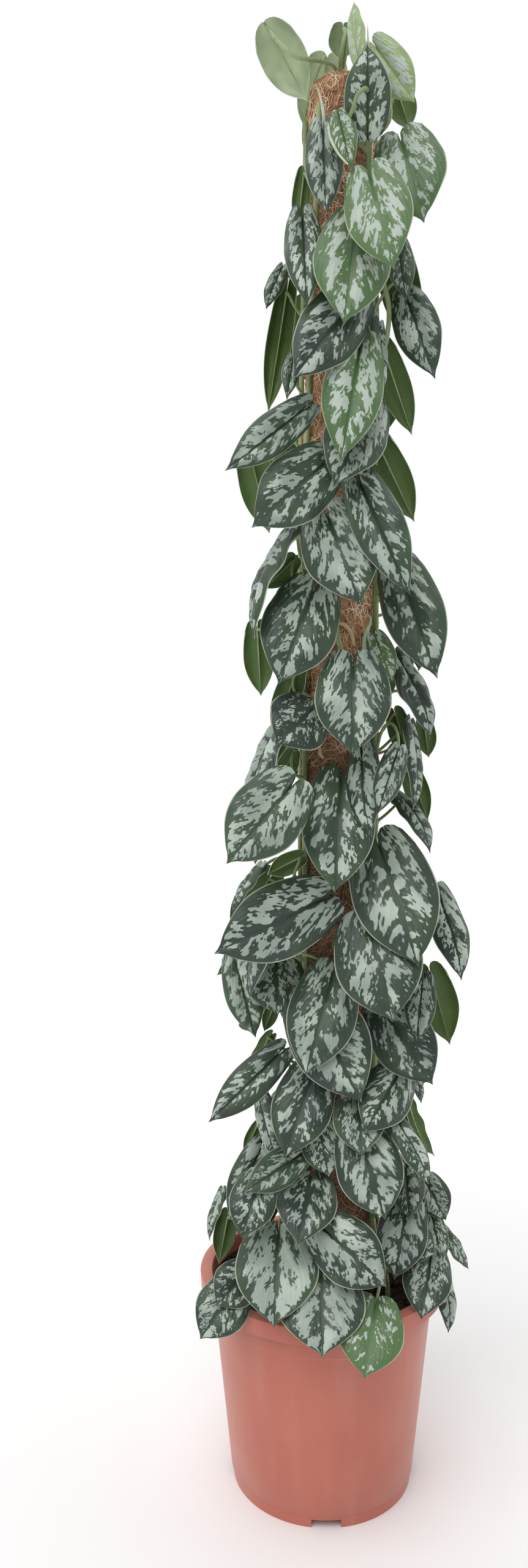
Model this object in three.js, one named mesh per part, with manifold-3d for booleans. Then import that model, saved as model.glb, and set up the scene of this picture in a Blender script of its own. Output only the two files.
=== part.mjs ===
/**
 * A potted climbing aroid, Scindapsus treubii, on a coir pole in a nursery pot.
 *
 * Millimetres, +Z up, the front looks towards -Y, and the origin is the bottom centre of the whole plant.
 * Six stems leave the soil round the pole and climb it. Each stem is one solid with its petioles and leaves.
 * The leaves on the front follow readings taken by hand from a picture of such a plant, and the ones behind follow
 * a seeded rule. Every leaf is moved out until it clears what lies under it, and then gets the first petiole, out
 * of a short list of natural bends, that no other leaf stands in the way of.
 */
import * as THREE from 'three';
import { mergeVertices } from 'three/addons/utils/BufferGeometryUtils.js';
import Module from 'manifold-3d';

const wasm = await Module();
wasm.setup();

// Driving dimensions
const GAP = 0.3; // clearance between pieces that touch
const POT = {
  height: 231,
  footRadius: 98.2, // outer radius at the ground
  flare: 0.105, // growth of the radius per millimetre of height
  wall: 2,
  footHeight: 13,
  footStep: 1.2, // the foot ring stands this far inside the wall above it
  floorHeight: 9, // underside of the floor
  floorThickness: 2.5,
  bandHeight: 193, // the wall is wider from here up
  bandStep: 1.6,
  rimRadius: 135,
  rimHeight: 18,
  rimWall: 2.2,
  sides: 32,
  notchWidth: 31,
  notchHeight: 9,
  notches: 4,
  drainRadius: 7,
  drainCircle: 62,
  drains: 6,
};
const SOIL = { top: 213, mound: 4, sides: 24 };
const POLE = { x: 17, coreRadius: 17, top: 1508, thickTop: 33.5, thick: 39.5, taperFrom: 1050, cap: 14, sides: 24 };
const STEM = { radius: 3.2, sides: 5, step: 116, foot: 64, buried: 40, joinsPoleAt: 300, top: 1474 };
const PETIOLE = { radius: 2.1, sides: 3, pieces: 2, sunk: 11, held: 4, spacing: 1 };
const BLADE = {
  thickness: 1.1,
  ratio: 0.74, // width to length
  aslant: 0.45, // least width to length of a blade seen on edge
  lobe: 0.165,
  clear: 2.8, // from the leaf behind
  steepest: 1.1,
  stations: [0, 0.3, 0.7],
};
const VOXEL = 3; // grid in which leaves keep clear of each other

// The eye that the leaf readings are given for. It is level with the middle of the plant, tilted a little down,
// and its picture is 862 by 2560 pixels.
const PICTURE = { width: 862, height: 2560, focal: 1810, cell: 3 };
const EYE = { x: -64.5, height: 827, distance: 1206, tilt: 0.05 };

// Each stem: the angle at which it climbs the pole at four heights, from straight ahead (0) towards +X (90).
const STEM_HEIGHTS = [0, 600, 1000, 1500];
const STEMS = [
  { name: 'leafy_stem_front_left', angles: [-52, -60, -64, -40] },
  { name: 'leafy_stem_front_right', angles: [50, 62, 58, 44] },
  { name: 'leafy_stem_left', angles: [-98, -106, -104, -92] },
  { name: 'leafy_stem_right', angles: [100, 104, 108, 96] },
  { name: 'leafy_stem_back_left', angles: [-150, -158, -150, -140] },
  { name: 'leafy_stem_back_right', angles: [152, 148, 158, 146] },
];

/**
 * Leaf readings, from the one farthest back to the one in front: notch x, y, tip x, y and width across the midrib,
 * in pixels. turn is the way that a blade seen aslant faces, under marks a leaf that shows its underside, back is
 * how far its notch lies behind the pole's axis in millimetres, and lean how much nearer its tip is than its notch.
 * behind marks a leaf that the pole itself hides in part.
 */
const LEAVES = [
  // on the far side of the flanks, seen from below
  { at: [372, 1985, 358, 2062], wide: 36, under: true, back: 2, lean: 0 },
  { at: [420, 1838, 398, 1886], wide: 22, under: true, back: 20, lean: 0 },
  { at: [666, 1802, 706, 1888], wide: 24, turn: 1, under: true, back: 12, lean: 0 },
  { at: [440, 1694, 399, 1757], wide: 26, under: true, turn: -1, back: 12, lean: 0 },
  { at: [448, 1640, 431, 1684], wide: 24, under: true, back: 15, lean: 0 },
  { at: [395, 1558, 354, 1592], wide: 20, under: true, back: 25, lean: 0 },
  { at: [703, 1590, 734, 1703], wide: 64, under: true, back: 10, lean: 0 },
  { at: [440, 1434, 378, 1532], wide: 66, under: true, back: 14, lean: 0 },
  { at: [490, 1400, 436, 1428], wide: 36, under: true, back: 14, lean: 0 },
  { at: [668, 1255, 699, 1340], wide: 40, under: true, back: 10, lean: 0 },
  { at: [478, 1230, 458, 1276], wide: 34, under: true, back: 8, lean: 0 },
  { at: [645, 1165, 668, 1240], wide: 40, under: true, back: 22, lean: 0 },
  { at: [692, 1178, 700, 1237], wide: 34, under: true, back: 18, lean: 0 },
  { at: [484, 1095, 446, 1204], wide: 46, under: true, back: 14, lean: 0 },
  { at: [420, 1028, 426, 1137], wide: 50, under: true, back: 14, lean: 0 },
  { at: [478, 915, 432, 962], wide: 40, under: true, back: 12, lean: 0 },
  { at: [408, 738, 440, 872], wide: 60, under: true, back: 14, lean: 0 },
  { at: [616, 722, 677, 853], wide: 58, under: true, back: 6, lean: 0 },
  { at: [627, 572, 673, 712], wide: 50, under: true, back: 4, lean: 0, route: 'thick' },
  { at: [468, 478, 437, 678], wide: 42, under: true, back: 10, lean: 0 },
  { at: [640, 400, 672, 562], wide: 66, under: true, back: 26, lean: 0 },
  { at: [496, 284, 486, 374], wide: 30, under: true, back: 10, lean: 0 },
  { at: [648, 146, 670, 212], wide: 46, under: true, back: 16, lean: 0 },
  { at: [533, 104, 519, 240], wide: 84, under: true, behind: true, back: 47, lean: -0.06 },
  { at: [560, 44, 556, 100], wide: 44, under: true, back: 0, lean: 0, route: 'upright' },
  { at: [432, 38, 503, 168], wide: 74, lobe: 0.04, under: true, back: -20, lean: 0, route: 'arching' },
  // hanging over the pot
  { at: [722, 2008, 766, 2072], wide: 22, turn: 1, back: 12, lean: 0 },
  { at: [724, 2085, 735, 2176], wide: 30, turn: 1, back: -8 },
  { at: [705, 1985, 722, 2068], wide: 38, turn: 1, back: -14 },
  { at: [703, 2052, 688, 2152], wide: 78 },
  { at: [386, 2101, 327, 2186], wide: 86 },
  { at: [402, 2076, 354, 2132], wide: 74 },
  { at: [362, 1948, 339, 2024], wide: 18, turn: -1, back: 15 },
  { at: [612, 2132, 595, 2250], wide: 106 },
  { at: [523, 2078, 527, 2214], wide: 142 },
  { at: [455, 2015, 447, 2166], wide: 134 },
  { at: [694, 1928, 728, 1992], wide: 56, turn: 1 },
  { at: [668, 2022, 709, 2048], wide: 60 },
  { at: [664, 1970, 644, 2088], wide: 82 },
  { at: [662, 1908, 668, 1990], wide: 58 },
  { at: [530, 2008, 631, 2101], wide: 102 },
  { at: [507, 1922, 488, 2028], wide: 99 },
  { at: [425, 1876, 374, 1992], wide: 58, turn: -1 },
  { at: [424, 1925, 394, 2020], wide: 76 },
  // lower third
  { at: [426, 1796, 461, 1912], wide: 34, turn: -1 },
  { at: [492, 1884, 400, 1945], wide: 60 },
  { at: [520, 1836, 537, 1921], wide: 70 },
  { at: [588, 1858, 629, 1991], wide: 108 },
  { at: [650, 1836, 703, 1932], wide: 38, turn: 1 },
  { at: [585, 1792, 591, 1886], wide: 86 },
  { at: [512, 1752, 465, 1889], wide: 98 },
  { at: [673, 1742, 689, 1801], wide: 20, turn: 1, back: 10 },
  { at: [650, 1752, 596, 1848], wide: 86 },
  { at: [454, 1722, 341, 1832], wide: 62 },
  { at: [628, 1652, 706, 1770], wide: 102 },
  { at: [385, 1572, 417, 1693], wide: 62, back: -10 },
  { at: [450, 1572, 452, 1657], wide: 100 },
  { at: [505, 1632, 590, 1799], wide: 128 },
  { at: [543, 1594, 499, 1755], wide: 112 },
  { at: [690, 1600, 680, 1701], wide: 50, turn: 1 },
  { at: [715, 1462, 757, 1598], wide: 58, turn: 1, back: -8 },
  { at: [605, 1432, 602, 1522], wide: 52 },
  { at: [603, 1508, 641, 1668], wide: 142 },
  { at: [424, 1418, 377, 1494], wide: 18, turn: -1 },
  { at: [523, 1470, 352, 1556], wide: 122 },
  // middle third
  { at: [620, 1384, 683, 1577], wide: 138 },
  { at: [653, 1305, 705, 1388], wide: 30, turn: 1 },
  { at: [557, 1278, 546, 1457], wide: 118 },
  { at: [467, 1172, 402, 1347], wide: 30, turn: -1 },
  { at: [473, 1286, 371, 1409], wide: 122 },
  { at: [592, 1226, 603, 1364], wide: 56, turn: -1 },
  { at: [670, 1190, 679, 1321], wide: 20, turn: 1 },
  { at: [648, 1230, 616, 1328], wide: 46 },
  { at: [508, 1158, 454, 1212], wide: 106, lean: 0.9 },
  { at: [655, 1062, 668, 1108], wide: 28, turn: 1 },
  { at: [650, 1078, 708, 1201], wide: 42, turn: 1 },
  { at: [614, 1042, 640, 1112], wide: 44 },
  { at: [576, 1085, 577, 1231], wide: 124, route: 'hanging' },
  { at: [510, 968, 456, 1113], wide: 124 },
  { at: [478, 868, 404, 1036], wide: 22, turn: -1 },
  { at: [652, 932, 713, 1105], wide: 98 },
  // upper third
  { at: [536, 845, 588, 985], wide: 124 },
  { at: [588, 790, 668, 968], wide: 84 },
  { at: [528, 758, 415, 858], wide: 112 },
  { at: [600, 668, 548, 788], wide: 102 },
  { at: [494, 670, 372, 765], wide: 66 },
  { at: [618, 538, 617, 656], wide: 26, turn: 1 },
  { at: [587, 570, 557, 750], wide: 98 },
  { at: [478, 588, 469, 647], wide: 30 },
  { at: [580, 485, 481, 615], wide: 104 },
  { at: [665, 490, 708, 612], wide: 74 },
  { at: [650, 398, 662, 486], wide: 44, turn: 1 },
  { at: [460, 440, 434, 502], wide: 28, turn: -1 },
  { at: [494, 358, 500, 490], wide: 64 },
  { at: [582, 368, 562, 525], wide: 126 },
  // crown
  { at: [527, 214, 532, 346], wide: 62 },
  { at: [655, 231, 690, 356], wide: 120 },
  { at: [604, 290, 642, 435], wide: 110 },
  { at: [614, 78, 676, 166], wide: 66, back: -4, lean: 0.1 },
  { at: [588, 100, 574, 1], wide: 30, back: 6, lean: -0.2, turn: -1 },
  { at: [600, 226, 600, 68], wide: 76, lobe: 0.05, lean: -0.15, route: 'looped', joins: 0.47 },
  { at: [552, 184, 573, 273], wide: 44, lobe: 0.04, stem: 1 },
];

// Petioles that can be followed by eye: points from the stem to the leaf, as x, y in pixels and how far behind the
// pot's axis they lie in millimetres.
const ROUTES = {
  arching: [[552, 165, 39], [553, 128, 16], [545, 108, 6], [530, 101, -12], [500, 96, -30], [482, 92, -34], [456, 70, -34]],
  upright: [[553, 164, 39], [554, 128, 15], [556, 100, -5], [560, 74, -9], [564, 54, -8]],
  looped: [[568, 204, -62], [577, 175, -66], [584, 154, -70], [596, 144, -72]],
  hanging: [[535, 935, -46], [545, 1000, -47], [556, 1056, -50], [566, 1084, -55]],
  thick: [[620, 450, -30], [633, 490, -34], [635, 520, -36]],
};

// Leaves behind the plant: stem, lowest and highest height on it, distance between leaves
const HIDDEN_LEAVES = [
  { stem: 2, from: 300, to: 1420, every: 96 },
  { stem: 3, from: 330, to: 1400, every: 96 },
  { stem: 4, from: 270, to: 1450, every: 62 },
  { stem: 5, from: 296, to: 1470, every: 62 },
];

/** Repeatable draws between 0 and 1 from a whole number. */
function draws(seed) {
  let state = seed >>> 0;
  return () => {
    state = (state + 0x6d2b79f5) >>> 0;
    let mixed = Math.imul(state ^ (state >>> 15), 1 | state);
    mixed = (mixed + Math.imul(mixed ^ (mixed >>> 7), 61 | mixed)) ^ mixed;
    return ((mixed ^ (mixed >>> 14)) >>> 0) / 4294967296;
  };
}

/** The eye in front, which turns a pixel of the picture into a point and back. */
class Eye {
  constructor() {
    this.place = new THREE.Vector3(EYE.x, -EYE.distance, EYE.height);
    this.ahead = new THREE.Vector3(0, Math.cos(EYE.tilt), -Math.sin(EYE.tilt));
    this.right = new THREE.Vector3(1, 0, 0);
    this.up = new THREE.Vector3().crossVectors(this.right, this.ahead);
  }

  /** The point seen at a pixel, at distance y behind the pot's axis. */
  at([px, py], y) {
    const ray = this.ahead.clone()
      .addScaledVector(this.right, (px - PICTURE.width / 2) / PICTURE.focal)
      .addScaledVector(this.up, (PICTURE.height / 2 - py) / PICTURE.focal);
    return ray.multiplyScalar((y - this.place.y) / ray.y).add(this.place);
  }

  /** How many millimetres a pixel covers at a point. */
  scale(point) {
    return point.clone().sub(this.place).dot(this.ahead) / PICTURE.focal;
  }

  /** The pixel at which a point is seen. */
  see(point) {
    const way = point.clone().sub(this.place);
    const depth = way.dot(this.ahead);
    return [
      PICTURE.width / 2 + (PICTURE.focal * way.dot(this.right)) / depth,
      PICTURE.height / 2 - (PICTURE.focal * way.dot(this.up)) / depth,
    ];
  }
}

/** The pole's outer radius at a height. */
function poleRadius(z) {
  const share = THREE.MathUtils.smoothstep(z, POLE.taperFrom, POLE.top);
  return THREE.MathUtils.lerp(POLE.thick, POLE.thickTop, share);
}

/** The pot's outer wall radius at a height. */
function potRadius(z) {
  const step = z < POT.footHeight ? 0 : POT.footStep;
  const band = z < POT.bandHeight ? 0 : POT.bandStep;
  return POT.footRadius + POT.flare * z + step + band;
}

/** The angle at which a stem climbs the pole at a height, in radians. */
function stemAngle(stem, z) {
  let index = 0;
  while (index < STEM_HEIGHTS.length - 2 && z > STEM_HEIGHTS[index + 1]) index += 1;
  const share = THREE.MathUtils.clamp(
    (z - STEM_HEIGHTS[index]) / (STEM_HEIGHTS[index + 1] - STEM_HEIGHTS[index]), 0, 1);
  return THREE.MathUtils.degToRad(THREE.MathUtils.lerp(stem.angles[index], stem.angles[index + 1], share));
}

/** The middle of a stem at a height: upright out of the soil, in to the pole, and up along it. */
function stemPoint(stem, z) {
  const angle = stemAngle(stem, z);
  const onPole = poleRadius(z) + GAP + STEM.radius;
  const share = THREE.MathUtils.smoothstep(z, SOIL.top + 6, STEM.joinsPoleAt);
  const reach = THREE.MathUtils.lerp(STEM.foot, onPole, share);
  return new THREE.Vector3(POLE.x + Math.sin(angle) * reach, -Math.cos(angle) * reach, z);
}

/** Share of the full half width at a place along the midrib, from the lobes (0) to the tip (1). */
function halfWidth(u) {
  return Math.sin(Math.PI * (0.3 + 0.7 * u ** 1.3)) * (1 - 0.35 * u ** 10);
}

/** One leaf blade, placed by its notch, its tip and the way it faces. */
class Blade {
  constructor({ notch, tip, face, width, seed, lobe = BLADE.lobe }) {
    const random = draws(seed);
    this.notch = notch;
    this.length = notch.distanceTo(tip);
    this.along = tip.clone().sub(notch).normalize();
    this.face = face.clone().addScaledVector(this.along, -face.dot(this.along)).normalize();
    this.across = new THREE.Vector3().crossVectors(this.along, this.face);
    this.width = width;
    this.lobe = lobe;
    this.bow = 0.03 + 0.05 * random();
    this.puff = 0.1 + 0.08 * random();
    this.droop = 0.02 + 0.06 * random();
    this.twist = (random() - 0.5) * 0.24;
    this.ripple = 0.008 + 0.012 * random();
    this.phase = random() * 2 * Math.PI;
  }

  /** Height of the blade over its own plane, as a share of its length. */
  height(u, q) {
    const side = Math.abs(q);
    const arch = this.bow * 4 * u * (1 - u) - this.droop * Math.max(0, (u - 0.6) / 0.4) ** 2;
    const pillow = this.puff * (side - 1.25 * q * q) * halfWidth(u) * 0.6;
    const wave = this.ripple * Math.sin(5 * Math.PI * u + this.phase + q) * q * q * halfWidth(u);
    const turned = (this.twist * q * u * halfWidth(u) * this.width) / (2 * this.length);
    return arch + pillow + wave + turned;
  }

  /** A point of the blade: u runs from the lobes to the tip, q from one margin (-1) to the other (1). */
  point(u, q) {
    const back = this.lobe * Math.sin(0.85 * Math.PI * Math.abs(q) ** 0.8) * (1 - u) ** 3;
    return this.notch.clone()
      .addScaledVector(this.along, (u - back) * this.length)
      .addScaledVector(this.across, (this.width / 2) * halfWidth(u) * q)
      .addScaledVector(this.face, this.height(u, q) * this.length);
  }

  /** Points spread over the blade, each with its u, close enough for the grid in which leaves keep clear. */
  samples(spacing) {
    const rows = Math.ceil(this.length / spacing);
    const columns = Math.ceil(this.width / spacing);
    const list = [];
    for (let row = 0; row <= rows; row += 1) {
      for (let column = 0; column <= columns; column += 1) {
        list.push({ u: row / rows, point: this.point(row / rows, (2 * column) / columns - 1) });
      }
    }
    return list;
  }

  /** The blade as a closed solid: a flat strip of triangles on each half, alike above and below. */
  solid() {
    const { stations } = BLADE;
    const points = [];
    const add = (u, q) => points.push(this.point(u, q)) - 1;
    const midrib = stations.map((u) => add(u, 0));
    const tip = add(1, 0);
    const triangles = [];
    const outline = { right: [], left: [] };
    for (const side of [1, -1]) {
      const lobe = add(0, 0.5 * side);
      const margin = stations.map((u) => add(u, side));
      const last = stations.length - 1;
      const half = [
        [midrib[0], lobe, midrib[1]], [lobe, margin[1], midrib[1]], [lobe, margin[0], margin[1]],
        [midrib[last], margin[last], tip],
      ];
      for (let row = 1; row < last; row += 1) {
        half.push([midrib[row], margin[row], margin[row + 1]], [midrib[row], margin[row + 1], midrib[row + 1]]);
      }
      for (const [a, b, c] of half) triangles.push(side > 0 ? [a, b, c] : [a, c, b]);
      outline[side > 0 ? 'right' : 'left'] = [lobe, ...margin];
    }
    const loop = [midrib[0], ...outline.right, tip, ...outline.left.reverse()];
    return slab(points, triangles, loop, this.face, BLADE.thickness);
  }
}

/** A thin solid from a sheet of triangles, its outline and the way it faces. */
function slab(points, triangles, loop, face, thickness) {
  const count = points.length;
  const places = [];
  points.forEach((point, index) => {
    point.clone().addScaledVector(face, thickness / 2).toArray(places, index * 3);
    point.clone().addScaledVector(face, -thickness / 2).toArray(places, (count + index) * 3);
  });
  const faces = [];
  for (const [a, b, c] of triangles) faces.push(a, b, c, count + a, count + c, count + b);
  loop.forEach((a, index) => {
    const b = loop[(index + 1) % loop.length];
    faces.push(count + a, count + b, b, count + a, b, a);
  });
  return fromArrays(places, faces);
}

/** A solid from its corners, as x, y, z after each other, and its triangles. */
function fromArrays(places, faces) {
  return new wasm.Manifold(new wasm.Mesh({
    numProp: 3,
    vertProperties: new Float32Array(places),
    triVerts: new Uint32Array(faces),
  }));
}

/** A three.js geometry as a solid that can be joined and cut. */
function toSolid(geometry) {
  geometry.deleteAttribute('normal');
  geometry.deleteAttribute('uv');
  const merged = mergeVertices(geometry, 1e-4);
  return fromArrays(merged.attributes.position.array, merged.index.array);
}

/** A solid as a named mesh with its material. */
function toMesh(solid, name, finish) {
  const { vertProperties, triVerts } = solid.getMesh();
  const geometry = new THREE.BufferGeometry();
  geometry.setAttribute('position', new THREE.BufferAttribute(vertProperties, 3));
  geometry.setIndex(new THREE.BufferAttribute(triVerts, 1));
  geometry.computeVertexNormals();
  const mesh = new THREE.Mesh(geometry, new THREE.MeshStandardMaterial(finish));
  mesh.name = name;
  return mesh;
}

/** A solid turned round the Z axis from an outline of [radius, height] points. */
function turned(outline, sides, x = 0) {
  const points = outline.map(([radius, z]) => new THREE.Vector2(radius, z));
  const geometry = new THREE.LatheGeometry(points, sides);
  geometry.rotateX(Math.PI / 2);
  geometry.translate(x, 0, 0);
  const solid = toSolid(geometry);
  return solid.volume() < 0 ? toSolid(flipped(geometry)) : solid;
}

/** The same geometry with its faces turned over. */
function flipped(geometry) {
  const index = geometry.index.array;
  for (let at = 0; at < index.length; at += 3) {
    const kept = index[at];
    index[at] = index[at + 1];
    index[at + 1] = kept;
  }
  return geometry;
}

/** A straight round bar along Z. */
function bar(radius, from, to, x, y, sides) {
  const geometry = new THREE.CylinderGeometry(radius, radius, to - from, sides);
  geometry.rotateX(Math.PI / 2);
  geometry.translate(x, y, (from + to) / 2);
  return toSolid(geometry);
}

/** A bar with level rings of a few corners round the given middles, from the lowest up. */
function upright(middles, radius, sides) {
  const places = [];
  const faces = [];
  middles.forEach((middle, ring) => {
    for (let side = 0; side < sides; side += 1) {
      const angle = (side / sides) * 2 * Math.PI;
      places.push(middle.x + radius * Math.cos(angle), middle.y + radius * Math.sin(angle), middle.z);
      const [a, b] = [ring * sides + side, ring * sides + ((side + 1) % sides)];
      if (ring + 1 < middles.length) faces.push(a, b, b + sides, a, b + sides, a + sides);
    }
  });
  const top = (middles.length - 1) * sides;
  for (let side = 2; side < sides; side += 1) faces.push(0, side, side - 1, top, top + side - 1, top + side);
  return fromArrays(places, faces);
}

/** A tube with few sides along a curve. */
function tube(curve, radius, sides, steps) {
  const section = new THREE.Shape();
  for (let side = 0; side < sides; side += 1) {
    const angle = (side / sides) * 2 * Math.PI;
    const corner = [radius * Math.cos(angle), radius * Math.sin(angle)];
    if (side === 0) section.moveTo(...corner);
    else section.lineTo(...corner);
  }
  section.closePath();
  return toSolid(new THREE.ExtrudeGeometry(section, { steps, bevelEnabled: false, extrudePath: curve }));
}

/** Pot: wall, floor, foot ring, stepped band and turned-down rim, with foot notches and drain holes. */
function makePot() {
  const top = POT.height;
  const rimFoot = top - POT.rimHeight;
  const floor = POT.floorHeight;
  const inside = (z) => potRadius(z) - POT.wall;
  const outline = [
    [0, floor],
    [POT.footRadius - 4, floor],
    [POT.footRadius - 3, 0],
    [POT.footRadius, 0],
    [potRadius(POT.footHeight - 0.01), POT.footHeight],
    [potRadius(POT.footHeight), POT.footHeight],
    [potRadius(POT.bandHeight - 0.01), POT.bandHeight - 1],
    [potRadius(POT.bandHeight), POT.bandHeight],
    [potRadius(rimFoot) + 0.4, top - POT.rimWall],
    [POT.rimRadius - POT.rimWall - 0.8, top - POT.rimWall],
    [POT.rimRadius - POT.rimWall - 1.2, rimFoot],
    [POT.rimRadius - 1, rimFoot],
    [POT.rimRadius, top - 1.5],
    [POT.rimRadius - 1.5, top],
    [inside(rimFoot) + 1.2, top],
    [inside(rimFoot), top - 3],
    [inside(POT.footHeight + 10), floor + POT.floorThickness + 6],
    [inside(POT.footHeight + 10) - 7, floor + POT.floorThickness],
    [0, floor + POT.floorThickness],
  ];
  let pot = turned(outline, POT.sides);
  const notch = new THREE.BoxGeometry(POT.notchWidth, 40, 2 * POT.notchHeight);
  for (let index = 0; index < POT.notches; index += 1) {
    const angle = (index / POT.notches) * 2 * Math.PI;
    const cutter = notch.clone();
    cutter.translate(0, -POT.footRadius, 0);
    cutter.rotateZ(angle);
    pot = pot.subtract(toSolid(cutter));
  }
  for (let index = 0; index < POT.drains; index += 1) {
    const angle = ((index + 0.5) / POT.drains) * 2 * Math.PI;
    const [x, y] = [POT.drainCircle * Math.cos(angle), POT.drainCircle * Math.sin(angle)];
    pot = pot.subtract(bar(POT.drainRadius, floor - 5, floor + 10, x, y, 8));
  }
  return pot;
}

/** Soil: fills the pot with its clearance, with a hole for the pole and one for each stem. */
function makeSoil() {
  const floor = POT.floorHeight + POT.floorThickness + GAP;
  const inside = (z) => potRadius(z) - POT.wall - 1.7;
  const outline = [
    [0, floor],
    [inside(30) - 8, floor],
    [inside(POT.footHeight + 10) - 1, floor + 8],
    [inside(POT.bandHeight - 1), POT.bandHeight - 1],
    [inside(SOIL.top) - 1, SOIL.top - 2],
    [90, SOIL.top],
    [58, SOIL.top + SOIL.mound],
    [0, SOIL.top + SOIL.mound],
  ];
  let soil = turned(outline, SOIL.sides);
  soil = soil.subtract(bar(POLE.thick + GAP, 0, SOIL.top + 20, POLE.x, 0, POLE.sides));
  for (const stem of STEMS) {
    const foot = stemPoint(stem, SOIL.top);
    soil = soil.subtract(bar(STEM.radius + 0.6, SOIL.top - STEM.buried, SOIL.top + 20, foot.x, foot.y, 8));
  }
  return soil;
}

/** The round core of the pole, which stands on the pot's floor. */
function makeCore() {
  const floor = POT.floorHeight + POT.floorThickness + GAP;
  return bar(POLE.coreRadius, floor, POLE.top - POLE.cap - GAP, POLE.x, 0, 16);
}

/** The coir sleeve: a thick tube over the core, closed and rounded at the top. */
function makeCoir() {
  const floor = POT.floorHeight + POT.floorThickness + GAP;
  const inner = POLE.coreRadius + GAP;
  const heights = [1060, 1180, 1300, 1420];
  const outline = [
    [inner, floor],
    [POLE.thick, floor],
    ...heights.map((z) => [poleRadius(z), z]),
    [POLE.thickTop, POLE.top - 9],
    [POLE.thickTop - 7, POLE.top - 1],
    [0, POLE.top],
    [0, POLE.top - POLE.cap],
    [inner, POLE.top - POLE.cap],
    [inner, floor],
  ];
  return turned(outline, POLE.sides, POLE.x);
}

/** The picture's grid, holding for each cell how near the nearest thing so far is. */
class Nearness {
  constructor(eye) {
    this.eye = eye;
    this.columns = Math.ceil(PICTURE.width / PICTURE.cell) + 2;
    this.rows = Math.ceil(PICTURE.height / PICTURE.cell) + 2;
    this.nearest = new Float64Array(this.columns * this.rows).fill(Infinity);
  }

  cell(point) {
    const [px, py] = this.eye.see(point);
    const column = THREE.MathUtils.clamp(Math.floor(px / PICTURE.cell) + 1, 1, this.columns - 2);
    const row = THREE.MathUtils.clamp(Math.floor(py / PICTURE.cell) + 1, 1, this.rows - 2);
    return row * this.columns + column;
  }

  /** How far a point would have to come forward to clear what lies under it. */
  shortfall(point) {
    return point.y - this.nearest[this.cell(point)] + BLADE.clear;
  }

  covered(point) {
    return this.nearest[this.cell(point)] < Infinity;
  }

  add(point) {
    const middle = this.cell(point);
    for (const rows of [-this.columns, 0, this.columns]) {
      for (const columns of [-1, 0, 1]) {
        const cell = middle + rows + columns;
        this.nearest[cell] = Math.min(this.nearest[cell], point.y);
      }
    }
  }
}

/** The room round the plant in small cubes, each free, taken by one owner, or taken by several. */
class Room {
  constructor() {
    this.low = new THREE.Vector3(-260, -330, 0);
    this.size = [180, 200, 560];
    this.owner = new Int16Array(this.size[0] * this.size[1] * this.size[2]);
  }

  place(point) {
    return [
      Math.floor((point.x - this.low.x) / VOXEL),
      Math.floor((point.y - this.low.y) / VOXEL),
      Math.floor((point.z - this.low.z) / VOXEL),
    ];
  }

  index(x, y, z) {
    return (z * this.size[1] + y) * this.size[0] + x;
  }

  /** Marks the cube of a point, and as many as reach says round it, as taken by an owner above 0. */
  take(point, owner, reach = 1) {
    const [x, y, z] = this.place(point);
    for (let dz = -reach; dz <= reach; dz += 1) {
      for (let dy = -reach; dy <= reach; dy += 1) {
        for (let dx = -reach; dx <= reach; dx += 1) {
          const index = this.index(x + dx, y + dy, z + dz);
          const held = this.owner[index];
          this.owner[index] = held === 0 || held === owner ? owner : -1;
        }
      }
    }
  }

  /** Whether a point is in a cube that is free or that only one of the given owners takes. */
  free(point, owners) {
    const held = this.owner[this.index(...this.place(point))];
    return held === 0 || owners.includes(held);
  }
}

/** Points all over the pole, the pot and the stems, which leaves keep clear of. */
function* fixedPoints() {
  for (let z = SOIL.top; z <= POLE.top; z += 3) {
    for (let angle = 0; angle < 2 * Math.PI; angle += 0.07) {
      const radius = poleRadius(z);
      yield new THREE.Vector3(POLE.x + radius * Math.sin(angle), -radius * Math.cos(angle), z);
    }
  }
  for (let angle = 0; angle < 2 * Math.PI; angle += 0.02) {
    const [sine, cosine] = [Math.sin(angle), Math.cos(angle)];
    for (let z = 0; z <= POT.height; z += 3) {
      const radius = z < POT.height - POT.rimHeight ? potRadius(z) : POT.rimRadius;
      yield new THREE.Vector3(radius * sine, -radius * cosine, z);
    }
    for (let radius = 0; radius < POT.rimRadius; radius += 3) {
      const z = radius > potRadius(SOIL.top) - POT.wall ? POT.height : SOIL.top + SOIL.mound;
      yield new THREE.Vector3(radius * sine, -radius * cosine, z);
    }
  }
}

/** Points along a petiole, closer together than the cubes of the grid: on its curve and on its straight pieces. */
function spread(curve, pieces) {
  const corners = curve.getSpacedPoints(pieces);
  const count = Math.ceil((corners[0].distanceTo(corners[pieces]) + 10) / PETIOLE.spacing);
  const points = Array.from({ length: count + 1 }, (_, step) => curve.getPoint(step / count));
  for (let piece = 0; piece < pieces; piece += 1) {
    for (let step = 1; step < count; step += 1) {
      points.push(corners[piece].clone().lerp(corners[piece + 1], step / count));
    }
  }
  return points;
}

const OWNER = { fixed: 1, firstStem: 2, firstLeaf: 20 };

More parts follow.
